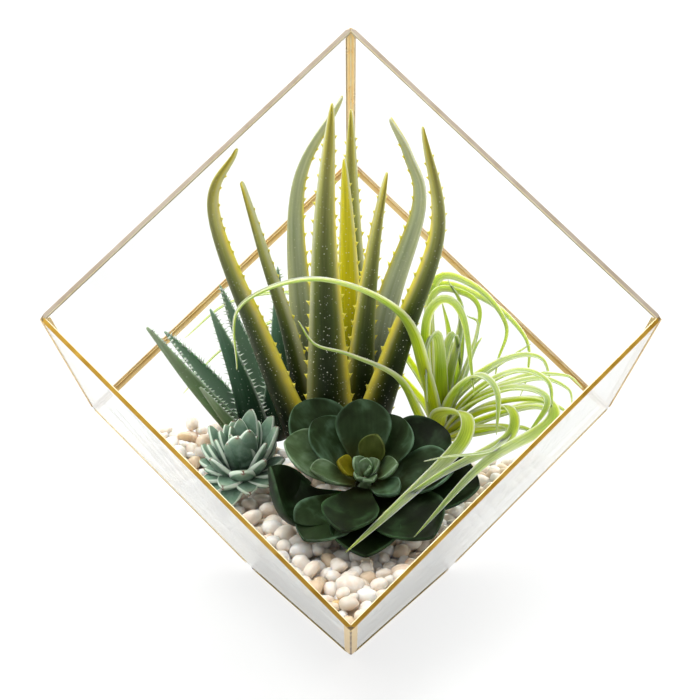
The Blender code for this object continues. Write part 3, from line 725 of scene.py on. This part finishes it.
def leafMesh(way, side, look, start=None):
    # one leaf's points, faces, values and uvs. Its section is a lens: a domed back and a hollow or domed face
    rings, around = look.get("rings", 48), look.get("around", 20)
    shares = 1 - (1 - np.linspace(0, 1, rings)) ** look.get("tipDense", 1.3)
    points = smoothWay(way, shares)
    frames = leafFrames(points, side, start)
    length = float(np.linalg.norm(np.diff(points, axis=0), axis=1).sum())
    angles = np.arange(around) * 2 * math.pi / around
    across, sine = np.cos(angles), np.sin(angles)
    blunt, belly = look.get("blunt", 1.1), look.get("belly", 0.0)
    hands, glowAt = look.get("glow", (0.0, 0.0)), look.get("glowAt", lambda t: 1.0)
    leaf = {key: [] for key in ("points", "faces", "uvs", *leafValues)}
    for middle, (_, aside, back), t in zip(points, frames, shares[:-1]):
        share = look["widthAt"](t)
        thick, cup, half = thickAt(look, share), look["hollow"] * share, look["width"] * share / 2
        swell = thick * np.abs(sine) ** blunt
        out = cup * (1 - across**2) + np.where(sine > 0, swell, -belly * swell) - (cup + thick / 2)
        for x, y in zip(across, out):
            leaf["points"].append(middle + aside * (x * half) + back * y)
            leaf["uvs"].append((x * half, t * length))
            leaf["glow"].append(hands[int(x < 0)] * marginGlow(x) * glowAt(t))
        leaf["along"] += [t] * around
        leaf["across"] += list(across)
        leaf["inner"] += list((sine < -0.05).astype(float))
    tip = {"points": points[-1], "uvs": (0.0, length), "along": 1.0, "across": 1.0, "inner": 0.0, "glow": 0.0}
    for key, value in tip.items():
        leaf[key].append(value)
    leaf["faces"] = taperFaces(0, around, rings - 1)
    if "teeth" in look:
        addTeeth(leaf, points, frames, shares, look, length)
    return leaf


def addSpike(leaf, base, outwards, forwards, size, t, hand):
    # one tooth: a wide low cone of six sides and three rings, whose tip bends forwards
    outwards, forwards = unit(outwards), unit(forwards)
    through = np.cross(outwards, forwards)
    long, tall, thick = size
    first = len(leaf["points"])
    for rise, spread, lean in ((-0.35, 1.0, 0.0), (0.22, 0.48, 0.08), (0.62, 0.19, 0.22)):
        for k in range(6):
            turn = math.radians(60 * k)
            leaf["points"].append(
                base + outwards * tall * rise + forwards * long * (lean + 0.5 * spread * math.cos(turn))
                + through * thick * 0.5 * spread * math.sin(turn))
    leaf["points"].append(base + outwards * tall + forwards * long * 0.36)
    leaf["faces"] += taperFaces(first, 6, 3)
    count = len(leaf["points"]) - first
    leaf["along"] += [t] * count
    leaf["across"] += [1.05 * hand] * 6 + [1.15 * hand] * 6 + [1.3 * hand] * 7
    leaf["inner"] += [0.0] * count
    leaf["glow"] += [0.9] * 6 + [1.0] * 13
    leaf["uvs"] += [(0.0, 0.0)] * count


def addTeeth(leaf, points, frames, shares, look, length):
    # teeth along both margins, but for one that hardly glows, which is turned away
    teeth = look["teeth"]
    random = np.random.default_rng(teeth["seed"])
    for hand in (-1, 1):
        if look.get("glow", (1, 1))[int(hand < 0)] < 0.1:
            continue
        reach = (0.03 + 0.02 * random.random()) * length
        while reach < teeth["until"] * length:
            t = reach / length
            k = min(int(np.searchsorted(shares, t)), len(points) - 2)
            share = look["widthAt"](shares[k])
            tangent, aside, back = frames[k]
            down = look["hollow"] * share + thickAt(look, share) / 2
            base = points[k] + aside * hand * look["width"] * share / 2 - back * down
            shrink = 1 - teeth["shrink"] * t
            tall = teeth["tall"] * shrink * random.uniform(0.75, 1.2)
            size = (teeth["long"] * shrink, tall, teeth["thick"] * shrink)
            addSpike(leaf, base, aside * hand + tangent * 0.15, tangent, size, t, hand)
            reach += teeth["gap"] * (1 - 0.35 * t) * random.uniform(0.8, 1.2)


def joinLeaves(leaves):
    joined = {key: [] for key in leaves[0]}
    for leaf in leaves:
        faces = shifted(leaf["faces"], len(joined["points"]))
        for key, values in leaf.items():
            joined[key] += faces if key == "faces" else values
    return joined


def leafPiece(name, leaf, material):
    # a leaf, or several as one, kept clear of the case
    walls = ("upperLeft", "upperRight", "lowerLeft", "lowerRight", "back")
    points = keepInside(np.array(leaf["points"]), walls, case["inside"] + case["leafGap"])
    values = {key: leaf[key] for key in leafValues}
    made = meshPiece(name, points, leaf["faces"], material, values, leaf["uvs"])
    outward(made)
    return made


def leafInputs(material):
    # what a leaf's colours start from: its mesh values, how near the margin is, and its places
    leaf = {key: addNode(material, "Attribute", attribute_name=key).outputs["Fac"] for key in leafValues}
    leaf["margin"] = addNode(material, "Math", {0: leaf["across"]}, operation="ABSOLUTE")
    place = addNode(material, "TexCoord")
    leaf["flat"], leaf["place"] = place.outputs["UV"], place.outputs["Object"]
    return leaf


def fibres(material, leaf, wide, long, light):
    # fine streaks along the leaf, sized in millimetres, as a grey to multiply by
    scaled = addNode(material, "Mapping", {
        "Vector": leaf["flat"], "Scale": (perMetre(wide), perMetre(long), 1.0)})
    noise = addNode(material, "TexNoise", {"Vector": scaled, "Scale": 1.0, "Detail": 3.0})
    return addNode(material, "ValToRGB", {"Fac": noise}, [(0.32, light), (0.68, "#FFFFFF")])


def specks(material, leaf, apart, small, large, kept):
    # scattered round dots, about so many millimetres apart
    cells = addNode(material, "TexVoronoi", {"Vector": leaf["place"], "Scale": perMetre(apart)})
    split = addNode(material, "SeparateColor", {"Color": cells.outputs["Color"]})
    some = addNode(material, "Math", {0: split.outputs["Red"], 1: 1 - kept}, operation="GREATER_THAN")
    return strength(material, (cells, small, large, 1.0, 0.0), some, split.outputs["Green"])


def vinyl(material, colour, relief, bump, inputs):
    # moulded soft plastic: a little light goes through its thin edges
    raised = addNode(material, "Bump", {"Height": relief, "Strength": bump, "Distance": 0.0003})
    skin = addNode(material, "BsdfPrincipled", {
        "Base Color": colour, "Normal": raised, "Subsurface Weight": 0.3, **inputs})
    addNode(material, "OutputMaterial", {"Surface": skin})


# aloes: each leaf's way in millimetres from the crown up, its width, and the direction that its back faces

def buildAloe(aloe, tints):
    # toothed leaves, each in its own tint, round the crown from the frame
    for k, (label, leaf) in enumerate(aloe["leaves"].items()):
        look = {**aloe, **leaf, "teeth": {"seed": aloe["seed"] + k, **aloe["teeth"]}}
        width = leaf["width"] / 1000
        look.update(width=width, thickness=aloe["thickness"] * width, hollow=look["hollow"] * width)
        mesh = leafMesh(metres(leaf["way"]), np.cross(compass(leaf["back"]), up), look, start=up)
        node = f"{aloe['name']}_leaf_{label}"
        settle(leafPiece(pieceName(node), mesh, tints[look["tint"]]), f"{aloe['name']}_green", node)
    # the crown keeps its shape
    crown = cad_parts[f"{aloe['name']}_crown"]
    crown.data.materials.clear()
    crown.data.materials.append(tints[aloe["tint"]])


# tall aloe. Glow is how yellow the left and right margins are, seen with the back to the eye: partly their
# own yellow, partly painted light shining through them

def tallAloeWidth(t):
    # flared at the root, then nearly even, with a blunt tip
    return min(0.80 + 2.5 * t, 1.0) * (0.60 * (1 - t) ** 0.5 + 0.40 * (1 - t) ** 2)


def tallAloeGlow(t):
    # the yellow fades at the root and at the tip
    return min(1.0, 0.35 + 2.2 * (1 - t)) * min(1.0, 0.45 + 3.0 * t)


tallAloe = {
    "name": "tall_aloe", "seed": 20, "tint": "olive", "thickness": 0.30, "hollow": 0.06,
    "rings": 64, "around": 28, "widthAt": tallAloeWidth, "glowAt": tallAloeGlow,
    "teeth": {"gap": 0.0108, "long": 0.0058, "tall": 0.0022, "thick": 0.0015, "until": 0.92, "shrink": 0.5},
    "leaves": {
        "left_front": {"back": 232, "width": 23.8, "glow": (0.05, 0.95),
            "way": [(-22.5, 24, 64.8), (-46, 11, 137), (-66, -21, 218), (-53, -29, 252)]},
        "left_back": {"back": 225, "width": 20, "glow": (0.05, 0.35),
            "way": [(-22, 33, 64.8), (-31, 27, 130), (-44, 14, 185), (-53, 2, 226)]},
        "back_left": {"back": 105, "width": 21, "glow": (0.95, 0.05), "hollow": 0.18,
            "way": [(-15, 42, 64.8), (-26, 45, 140), (-27, 42, 212), (-4, 38, 259)]},
        "front": {"back": 268, "width": 29.2, "glow": (0.45, 1.0),
            "way": [(-10, 15, 64.8), (-12, 13, 130), (-13, 10, 200), (-9, 6, 264)]},
        "middle": {"back": 262, "width": 25, "glow": (1.0, 0.9), "tint": "yellow",
            "way": [(-3, 31, 64.8), (-1.5, 34, 128), (-2, 34, 183), (-3.5, 32, 228.5)]},
        "back": {"back": 264, "width": 24.5, "glow": (0.95, 0.5),
            "way": [(-1, 43, 64.8), (1, 46, 130), (0, 45, 205), (0, 42, 251)]},
        "middle_right": {"back": 285, "width": 21.5, "glow": (0.85, 0.45),
            "way": [(4, 26, 64.8), (7, 25, 135), (12, 23, 185), (18, 21, 225)]},
        "right_back": {"back": 62, "width": 22.5, "glow": (0.05, 0.8), "hollow": 0.18,
            "way": [(7, 36, 64.8), (19, 34, 145), (35, 24, 206), (29, 20, 234), (19, 16, 254)]},
        "right_front": {"back": 292, "width": 22.5, "glow": (0.95, 0.1),
            "way": [(5, 21, 64.8), (26, 16, 137), (43, -1, 202), (34, -13, 258)]},
    },
}


def tallAloeMaterial(name, stops, middle):
    # moulded vinyl leaf: dark olive root, pale tip, printed specks, yellow edges that are partly their own
    # yellow and partly painted light shining through, painted rim light at the margins and painted shade down
    # the middle of the back
    material = newMaterial(name)
    leaf = leafInputs(material)
    along, across, margin, inner, glow = [leaf[key] for key in ("along", "across", "margin", "inner", "glow")]
    body = addNode(material, "ValToRGB", {"Fac": along}, stops)
    dots = strength(material, specks(material, leaf, 1.613, 0.12, 0.26, 0.80), (along, 0.2, 1.0, 1.0, 0.35))
    drift = addNode(material, "TexNoise", {
        "Vector": leaf["place"], "Scale": perMetre(7.692), "Detail": 2.0})
    gold = addNode(material, "ValToRGB", {"Fac": glow}, [
        (0.3, "#B0A818"), (0.65, "#F0D810"), (1.0, "#FFF060")])
    colour = coats(
        material, body,
        (fibres(material, leaf, 0.9091, 25, "#BFC7AE"), "MULTIPLY", 0.55),
        # the hollow inner face is paler: partly its own paler colour, partly painted light where it lies in
        # shade
        ("#EDF2E0", "MIX", inner, (across, -0.9, 0.5, 0.90, 0.62), (along, 0.08, 0.55, 0.12, 1.0)),
        (fibres(material, leaf, 3.3333, 111.11, "#A2B088"), "MULTIPLY", inner, 0.8),
        # paler margins, more towards the tip: painted rim light
        ("#DCE0CA", "MIX", (margin, 0.60, 1.0), (along, 0.10, 0.60, 0.20, 0.92)),
        # painted shade: the middle of the back is darker
        (strength(material, (margin, 0.05, 0.90, middle, 1.0)), "MULTIPLY", (inner, 0.0, 1.0, 1.0, 0.25)),
        ("#F0F2DC", "MIX", dots),
        (gold, "MIX", glow, (drift, 0.25, 0.6, 0.75, 1.1)))
    vinyl(material, colour, dots, 0.3, {
        "Roughness": 0.42, "Specular IOR Level": 0.20, "Subsurface Scale": 0.004,
        "Subsurface Radius": (1.0, 0.95, 0.25)})
    return material


def buildTallAloe():
    olive = [(0.00, "#161F0B"), (0.14, "#202C11"), (0.30, "#34441C"), (0.46, "#5C6C36"), (0.62, "#A0A862"),
             (0.80, "#DCDA84"), (0.92, "#F0E270"), (1.00, "#FAE85C")]
    yellow = [(0.00, "#5C6418"), (0.30, "#AAA814"), (0.60, "#F2E210"), (1.00, "#FFF04C")]
    buildAloe(tallAloe, {"olive": tallAloeMaterial("oliveVinylLeaf", olive, 0.42),
                         "yellow": tallAloeMaterial("yellowVinylLeaf", yellow, 0.85)})
    print("tall aloe built")


# small aloe

smallAloe = {
    "name": "small_aloe", "seed": 50, "tint": "deep", "thickness": 0.26, "hollow": 0.14,
    "rings": 48, "around": 22, "widthAt": lambda t: min(0.75 + 2 * t, 1.0) * (1 - t) ** 0.72,
    "teeth": {"gap": 0.0033, "long": 0.0021, "tall": 0.0034, "thick": 0.0011, "until": 0.97, "shrink": 0.3},
    "leaves": {
        "low_left": {"back": 235, "width": 13, "tint": "light",
            "way": [(-56, 48, 65.8), (-67, 42, 83), (-78.6, 37, 103)]},
        "left": {"back": 238, "width": 17.5, "tint": "light",
            "way": [(-60, 54, 65.8), (-83, 45, 100), (-105, 36, 137)]},
        "left_back": {"back": 135, "width": 17.5, "way": [(-56, 61, 65.8), (-76, 62, 95), (-98, 58, 126)]},
        "front": {"back": 252, "width": 18.5, "way": [(-50, 46, 65.8), (-60, 46, 105), (-73, 47, 143)]},
        "back": {"back": 115, "width": 16.5, "way": [(-47, 62, 65.8), (-56, 67, 108), (-69, 67, 149)]},
        "right": {"back": 278, "width": 18.5, "way": [(-40, 52, 65.8), (-37, 56, 110), (-38, 62, 161)]},
    },
}


def smallAloeMaterial(name, *stops):
    # moulded vinyl leaf: blue-green, satin, with chalk-white teeth and specks
    material = newMaterial(name)
    leaf = leafInputs(material)
    body = addNode(material, "ValToRGB", {"Fac": leaf["along"]}, stops)
    dots = specks(material, leaf, 1.6667, 0.10, 0.24, 0.6)
    colour = coats(
        material, body,
        (fibres(material, leaf, 0.6667, 20, "#B8C4B0"), "MULTIPLY", 0.5),
        ("#C9D6C4", "MIX", dots),
        ("#9FBBA2", "MIX", leaf["inner"], 0.38),
        ("#D9E4D6", "MIX", (leaf["margin"], 0.88, 1.12, 0.0, 0.95)))
    vinyl(material, colour, dots, 0.3, {
        "Roughness": 0.45, "Specular IOR Level": 0.25, "Subsurface Scale": 0.003,
        "Subsurface Radius": (0.6, 1.0, 0.5)})
    return material


def buildSmallAloe():
    buildAloe(smallAloe, {
        "deep": smallAloeMaterial(
            "deepBlueGreenVinyl", (0.0, "#112013"), (0.35, "#20402A"), (0.7, "#4A6C54"), (1.0, "#829A86")),
        "light": smallAloeMaterial(
            "lightGreenVinyl", (0.0, "#2A4426"), (0.35, "#5C7A4C"), (0.7, "#8A9C78"), (1.0, "#B4BCA6"))})
    print("small aloe built")


# dark echeveria, in millimetres: each leaf's direction, rise, length, width, height on the stem and tint

rosette = {
    "middle": (7, -22, 78), "lean": 25, "stem": 5, "thickness": 3.2, "foot": (7, -4, 40), "heartStem": 0.8,
    "leaves": {
        "under_front": (-90, 19, 48, 34, -12.5, "dark"),
        "under_right": (-8, 18, 55, 36, -12, "dark"),
        "under_left": (-163, 24, 53, 34, -12.5, "dark"),
        "low_right": (-52, 17, 50, 36, -8, "dark"),
        "low_left": (-126, 15, 47, 30, -8.5, "mid"),
        "back_right": (30, 22, 47, 36, -9, "dark"),
        "back_left": (133, 28, 51, 33, -8.5, "mid"),
        "front": (-104, 23, 45, 27, -2, "dark"),
        "right": (-2, 23, 43, 28, -5.8, "mid"),
        "left": (162, 28, 42, 26, -5.5, "olive"),
        "upper_right": (58, 32, 34, 28, -3, "mid"),
        "upper_left": (136, 31, 36, 24, -2, "mid"),
        "top": (92, 40, 36, 27, 1, "mid"),
        "inner_left": (-167, 36, 28, 14, -1, "olive"),
        "inner_front": (-42, 26, 19, 14, -1, "mid"),
        "inner_right": (-2, 46, 16, 12, 1.5, "olive"),
        "heart_back": (66, 64, 20.5, 13.5, 1.5, "bronze"),
        "heart_left": (172, 48, 13, 11, 2.5, "yellow"),
    },
    # a leaf with a hollow and a way of its own
    "bent": {"under_left": (0.26, [(0, -22, 66), (-18, -33, 64), (-33, -36, 69), (-40, -30, 89)])},
    # small leaves that close the heart
    "heart": [(20, 56, 12, 8.5, 2), (-62, 42, 10, 8.5, 1.2), (140, 60, 12, 8.5, 2), (-125, 50, 10, 7.5, 1),
              (75, 72, 10, 7, 3), (-20, 72, 8, 6, 3)],
}


def spoonWidth(t):
    # narrow at the stem, widest past the middle, round at the end with a small point
    return 0.25 * (1 - t) + 0.96 * math.sin(math.pi * min(t, 1.0) ** 1.9) ** 0.5


def rosetteMaterial(name, root, body, edge):
    # moulded vinyl leaf: deep green, satin, clouded, with lighter patches that are painted sheen, and a thin
    # lighter lip that is partly its paler margin and partly painted highlight
    material = newMaterial(name)
    leaf = leafInputs(material)
    along, margin, place = leaf["along"], leaf["margin"], leaf["place"]
    clouds = addNode(material, "TexNoise", {
        "Vector": place, "Scale": perMetre(12.5), "Detail": 3.0, "Distortion": 0.5})
    grain = addNode(material, "TexNoise", {"Vector": place, "Scale": perMetre(0.7692), "Detail": 2.0})
    base = addNode(material, "ValToRGB", {"Fac": along}, [(0.0, root), (0.5, body), (1.0, body)])
    tone = addNode(material, "ValToRGB", {"Fac": clouds}, [(0.30, "#8E8458"), (0.66, "#FFFFFF")])
    colour = coats(
        material, base,
        (tone, "MULTIPLY", 0.85),
        # lighter patches of the lip colour: painted sheen
        (edge, "MIX", (clouds, 0.48, 0.78, 0.0, 0.45)),
        (fibres(material, leaf, 1.4286, 16.667, "#A8B49C"), "MULTIPLY", 0.35),
        # the lip, lighter in patches: partly the paler margin, partly painted highlight
        (edge, "MIX", (margin, 0.84, 1.0), (along, 0.2, 0.7, 0.10, 0.55), (clouds, 0.35, 0.62, 0.35, 1.0)))
    vinyl(material, colour, grain, 0.12, {
        "Roughness": 0.50, "Specular IOR Level": 0.14, "Subsurface Scale": 0.002,
        "Subsurface Radius": (0.5, 1.0, 0.4)})
    return material


def rosetteLeaf(leaf, reach, axis, right, back, cup=0.17, way=None):
    (turn, rise), (length, width, height) = np.radians(leaf[:2]), metres(leaf[2:5])
    heading = right * math.cos(turn) + back * math.sin(turn)
    t = np.linspace(0, 1, 12)[:, None]
    out, climb = reach + length * math.cos(rise) * t, height + length * math.sin(rise) * t**1.4
    way = metres(way) if way else metres(rosette["middle"]) + heading * out + axis * climb
    # a narrow leaf is also thin
    look = {"width": width, "thickness": rosette["thickness"] / 1000 * min(1, width / 0.02 + 0.3),
            "hollow": cup * width, "widthAt": spoonWidth, "rings": 44, "around": 32,
            "belly": 0.25, "blunt": 0.62, "tipDense": 1.9}
    return leafMesh(way, np.cross(heading, axis), look, start=heading)


def buildRosette():
    lean = math.radians(rosette["lean"])
    axis = np.array([0.0, -math.sin(lean), math.cos(lean)])
    right = np.array([1.0, 0.0, 0.0])
    back = np.cross(axis, right)
    # dark, mid and olive are one vinyl green made darker or lighter for the light each leaf gets: painted
    # shade on the under and front leaves, painted light on the lit ones, with a browner tone of its own in
    # the olive
    tints = {
        "dark": rosetteMaterial("shadedGreenVinyl", "#1E2008", "#1C2A12", "#42603E"),
        "mid": rosetteMaterial("greenVinyl", "#46460E", "#364C2C", "#74947A"),
        "olive": rosetteMaterial("litOliveGreenVinyl", "#706A1E", "#66805A", "#A8BEA0"),
        "bronze": rosetteMaterial("bronzeGreenVinyl", "#565410", "#434D18", "#6E7A3C"),
        "yellow": rosetteMaterial("yellowGreenVinyl", "#847A09", "#9A9014", "#B9AE3C"),
    }
    for label, leaf in rosette["leaves"].items():
        mesh = rosetteLeaf(leaf, rosette["stem"] / 1000, axis, right, back, *rosette["bent"].get(label, ()))
        node = f"echeveria_leaf_{label}"
        settle(leafPiece(pieceName(node), mesh, tints[leaf[5]]), "echeveria_green", node)
    hearts = [rosetteLeaf(leaf, rosette["heartStem"] / 1000, axis, right, back) for leaf in rosette["heart"]]
    # the stem ends 1 mm below the middle of the rosette
    foot, top = metres(rosette["foot"]), metres(rosette["middle"]) - axis * 0.001
    stem = {"width": 0.009, "thickness": 0.0045, "hollow": 0.0, "belly": 1.0, "blunt": 1.0, "rings": 20,
            "around": 20, "widthAt": lambda t: 1.0 if t < 0.9 else 1.0 - 6 * (t - 0.9)}
    hearts.append(leafMesh([foot, 0.5 * (foot + top), top], right, stem))
    made = leafPiece("echeveriaHeart", joinLeaves(hearts), tints["olive"])
    settle(made, "echeveria_green", "echeveria_stem")
    print("dark echeveria built")


# chalky echeveria, in millimetres: each leaf's direction, rise, reach and width, the lowest first

chalky = {"middle": (-56, 6, 66.5), "thickness": 0.30, "wider": 1.2, "hollow": 0.04, "leaves": [
    (66, 68, 35, 10.5), (150, 51, 31, 8.5), (165, 64, 27, 7.5), (140, 75, 27, 7.5), (185, 58, 25, 8),
    (178, 45, 25, 8.5), (190, 17, 20, 8.5), (200, 2, 21, 9.5), (215, -14, 20, 9.5),
    (250, -26, 21, 10.5), (240, 2, 18, 12), (262, 71, 27.5, 14), (300, 72, 31, 11), (340, 56, 25, 8.5),
    (40, 53, 35, 10), (20, 51, 32, 10.5), (95, 75, 30, 9), (60, 56, 30, 10), (200, 77, 25, 7),
    (228, 66, 24, 9.5), (320, 0, 19, 10.5), (286, -6, 18, 11), (345, 12, 22, 10), (10, 20, 24, 10),
    (45, 26, 27, 10), (85, 30, 28, 10), (120, 32, 28, 10), (152, 28, 27, 9.5), (160, 12, 24, 9.5),
    (110, 60, 29, 9.5), (212, 38, 23, 9.5), (276, 30, 19, 12), (322, 40, 21, 10.5), (0, 70, 24, 8),
    (130, 62, 28, 8.5)]}


def plumpWidth(t):
    # half as broad at the stem as in the middle, with a round end
    return 0.45 * (1 - t) + 0.78 * math.sin(math.pi * t**1.45) ** 0.55


def chalkyMaterial():
    # moulded vinyl with a powder coat: blue-green, matt, paler rims, brown leaf points
    material = newMaterial("powderedVinyl")
    leaf = leafInputs(material)
    body = addNode(material, "ValToRGB", {"Fac": leaf["along"]}, [
        (0.0, "#0C180A"), (0.35, "#1E3620"), (0.62, "#405A46"), (0.86, "#66846E"), (0.975, "#8A9E86"),
        (1.0, "#7A4A3A")])
    dust = addNode(material, "TexNoise", {"Vector": leaf["place"], "Scale": perMetre(3.846), "Detail": 4.0})
    colour = coats(
        material, body,
        ("#A4BCAE", "MIX", (dust, 0.40, 0.70, 0.0, 0.25)),
        ("#DAE6D6", "MIX", (leaf["margin"], 0.84, 1.0), (leaf["along"], 0.15, 0.55, 0.05, 0.95)))
    vinyl(material, colour, dust, 0.08, {
        "Roughness": 0.60, "Specular IOR Level": 0.25, "Subsurface Scale": 0.002,
        "Subsurface Radius": (0.6, 1.0, 0.6), "Sheen Weight": 0.08})
    return material


def buildChalky():
    leaves = []
    t = np.linspace(0, 1, 10)[:, None]
    for turn, rise, reach, width in chalky["leaves"]:
        outwards, rise, reach = compass(turn), math.radians(rise), reach / 1000
        width = chalky["wider"] * width / 1000
        out, climb = reach * math.cos(rise) * t**0.62, reach * math.sin(rise) * t**1.15
        look = {"width": width, "thickness": chalky["thickness"] * width, "hollow": chalky["hollow"] * width,
                "widthAt": plumpWidth, "rings": 28, "around": 22, "belly": 0.35, "blunt": 0.8,
                "tipDense": 1.7}
        way = metres(chalky["middle"]) + outwards * out + up * climb
        leaves.append(leafMesh(way, np.cross(outwards, up), look))
    made = leafPiece("chalkyEcheveria", joinLeaves(leaves), chalkyMaterial())
    settle(made, "chalky_green", "chalky_echeveria")
    print("chalky echeveria built")


# air plant, in millimetres: each strap's width and its way after the crown

airPlant = {
    "crown": (45, 31, 74), "thickness": 1.5, "hollow": 0.20, "wider": 1.32,
    "straps": {
        "overFront": (8.8, (37, 20, 115), (23, 4, 157), (-16, -6, 178), (-53, -18, 169), (-56, -17, 135)),
        "besideAloe": (6, (35, 21, 92), (23, 6, 121), (-1, 0, 136), (-18, -3, 143), (-26, -6, 157)),
        "frontCurl": (7.4, (46, 18, 95), (57, 0, 102), (53, -18, 94), (22, -52, 78), (-3, -78, 66)),
        "longSweep": (6.8, (72, 28, 96), (98, 16, 104), (99, -2, 99), (65, -26, 88), (30, -66, 68)),
        "lowSweep": (5.8, (64, 23, 93), (80, 10, 102), (78, -8, 94), (45, -34, 87), (15, -54, 75)),
        "hookFront": (6.8, (53, 23, 104), (64, 13, 119), (73, 2, 115), (73, -8, 96)),
        "tallHook": (5.8, (38, 27, 115), (38, 25, 146), (47, 22, 158), (57, 18, 148), (63, 13, 108)),
        "backHook": (5, (40, 43, 110), (42, 48, 150), (58, 50, 151), (67, 48, 141), (62, 46, 116)),
        "backArc": (5, (41, 46, 108), (44, 57, 154), (66, 60, 149), (81, 56, 130), (77, 52, 112),
            (75, 48, 98)),
        "outerArc": (5.2, (44, 45, 100), (43, 59, 148), (70, 62, 142), (91, 58, 123), (93, 52, 106),
            (89, 47, 93)),
        "rightHook": (6.2, (55, 40, 96), (80, 48, 113), (99, 47, 115), (105, 42, 100)),
        "thinRight": (4.5, (58, 42, 97), (95, 56, 120)),
        "rightFar": (5.5, (62, 37, 92), (89, 44, 105), (111, 38, 109), (120, 34, 104)),
        "rightMid": (6.2, (66, 34, 97), (95, 33, 109), (111, 26, 107), (114, 22, 99)),
        "rightTurn": (7.5, (60, 26, 96), (83, 18, 110), (99, 6, 109), (88, -4, 93)),
        "leftTip": (4, (62, 21, 86), (80, 4, 94), (70.4, -20, 92.7), (47.8, -30, 94.1), (35.7, -32, 92.7)),
        "behindHigh": (4.4, (39, 45, 98), (12, 62, 129), (-27, 73, 141), (-63, 72, 137), (-88, 63, 120)),
        "behindLow": (4.4, (36, 46, 92), (0, 64, 121), (-30, 77, 127), (-68, 76, 109), (-90, 68, 86)),
        "innerHook": (7, (47, 29, 102), (44.5, 26, 135), (39, 20, 131), (39, 12, 105)),
        "innerBack": (5.6, (52, 42, 105), (51.5, 46, 129), (47, 46, 148)),
        "innerBroad": (7.8, (55, 40, 106), (58, 43, 128), (55.5, 46, 146)),
        "innerLean": (6.6, (58, 38, 104), (64, 40, 122), (68, 42, 129)),
        "innerUp": (7, (47, 34, 112), (53, 38, 132), (57, 41, 112)),
        "innerRight": (6.5, (58, 32, 109), (66, 39, 136), (60, 45, 140)),
        "innerCentre": (6.8, (52, 36, 108), (58, 44, 142), (50, 50, 158)),
        "lowRight": (6.2, (68, 30, 86), (94, 26, 96), (106, 15, 95), (100, 6, 88)),
        "lowerRight": (5.8, (68, 36, 83), (95, 38, 93), (110, 30, 93), (110, 24, 86)),
        "bottomRight": (6, (66, 28, 80), (88, 20, 87), (98, 10, 84)),
        "midTurn": (6.6, (62, 30, 100), (84, 26, 116), (100, 18, 114), (102, 8, 100)),
    },
}


def strapWidth(t):
    # broadest just after its root, then narrowing to a point
    return min(0.85 + 1.5 * t, 1.0) * (1 - t**1.4) ** 0.75


def airPlantMaterial():
    # flocked vinyl strap: bright lime at the root, partly its own lime and partly painted light shining
    # through; a pale band part way along and pale margins, partly its silvery hairs and partly painted
    # highlight
    material = newMaterial("flockedLimeVinyl")
    leaf = leafInputs(material)
    body = addNode(material, "ValToRGB", {"Fac": leaf["along"]}, [
        (0.00, "#E2EA00"), (0.22, "#C4D010"), (0.42, "#A0B43A"), (0.58, "#C4D2A4"), (0.72, "#A8BC84"),
        (1.00, "#7E9A3C")])
    hair = addNode(material, "TexNoise", {"Vector": leaf["place"], "Scale": perMetre(0.6667), "Detail": 2.0})
    colour = coats(
        material, body,
        (fibres(material, leaf, 0.4545, 18.182, "#AEBE80"), "MULTIPLY", 0.8),
        # pale margins: partly silvery hairs, partly painted highlight
        ("#DEE9CE", "MIX", (leaf["margin"], 0.70, 1.0, 0.0, 0.60)))
    vinyl(material, colour, hair, 0.2, {
        "Roughness": 0.62, "Specular IOR Level": 0.20, "Sheen Weight": 0.22, "Sheen Roughness": 0.45,
        "Subsurface Weight": 0.8, "Subsurface Scale": 0.008, "Subsurface Radius": (0.84, 1.0, 0.24)})
    return material


def buildAirPlant():
    leaves = []
    for width, *way in airPlant["straps"].values():
        full = metres([airPlant["crown"], *way])
        points = smoothWay(full, np.linspace(0, 1, 14))
        outwards = unit((points[7] - points[0]) * (1, 1, 0))
        width = width / 1000 * airPlant["wider"]
        thickness, hollow = airPlant["thickness"] / 1000, airPlant["hollow"] * width
        look = {"width": width, "thickness": thickness, "hollow": hollow, "rings": 64, "around": 16,
                "blunt": 0.9, "widthAt": strapWidth}
        leaves.append(leafMesh(full, np.cross(outwards, up), look))
    settle(leafPiece("airPlant", joinLeaves(leaves), airPlantMaterial()), "air_plant_green", "air_plant")
    print("air plant built")


for build in (buildCamera, buildLight, buildFloor, buildCase, buildBed, buildTallAloe, buildSmallAloe,
              buildRosette, buildChalky, buildAirPlant):
    build()
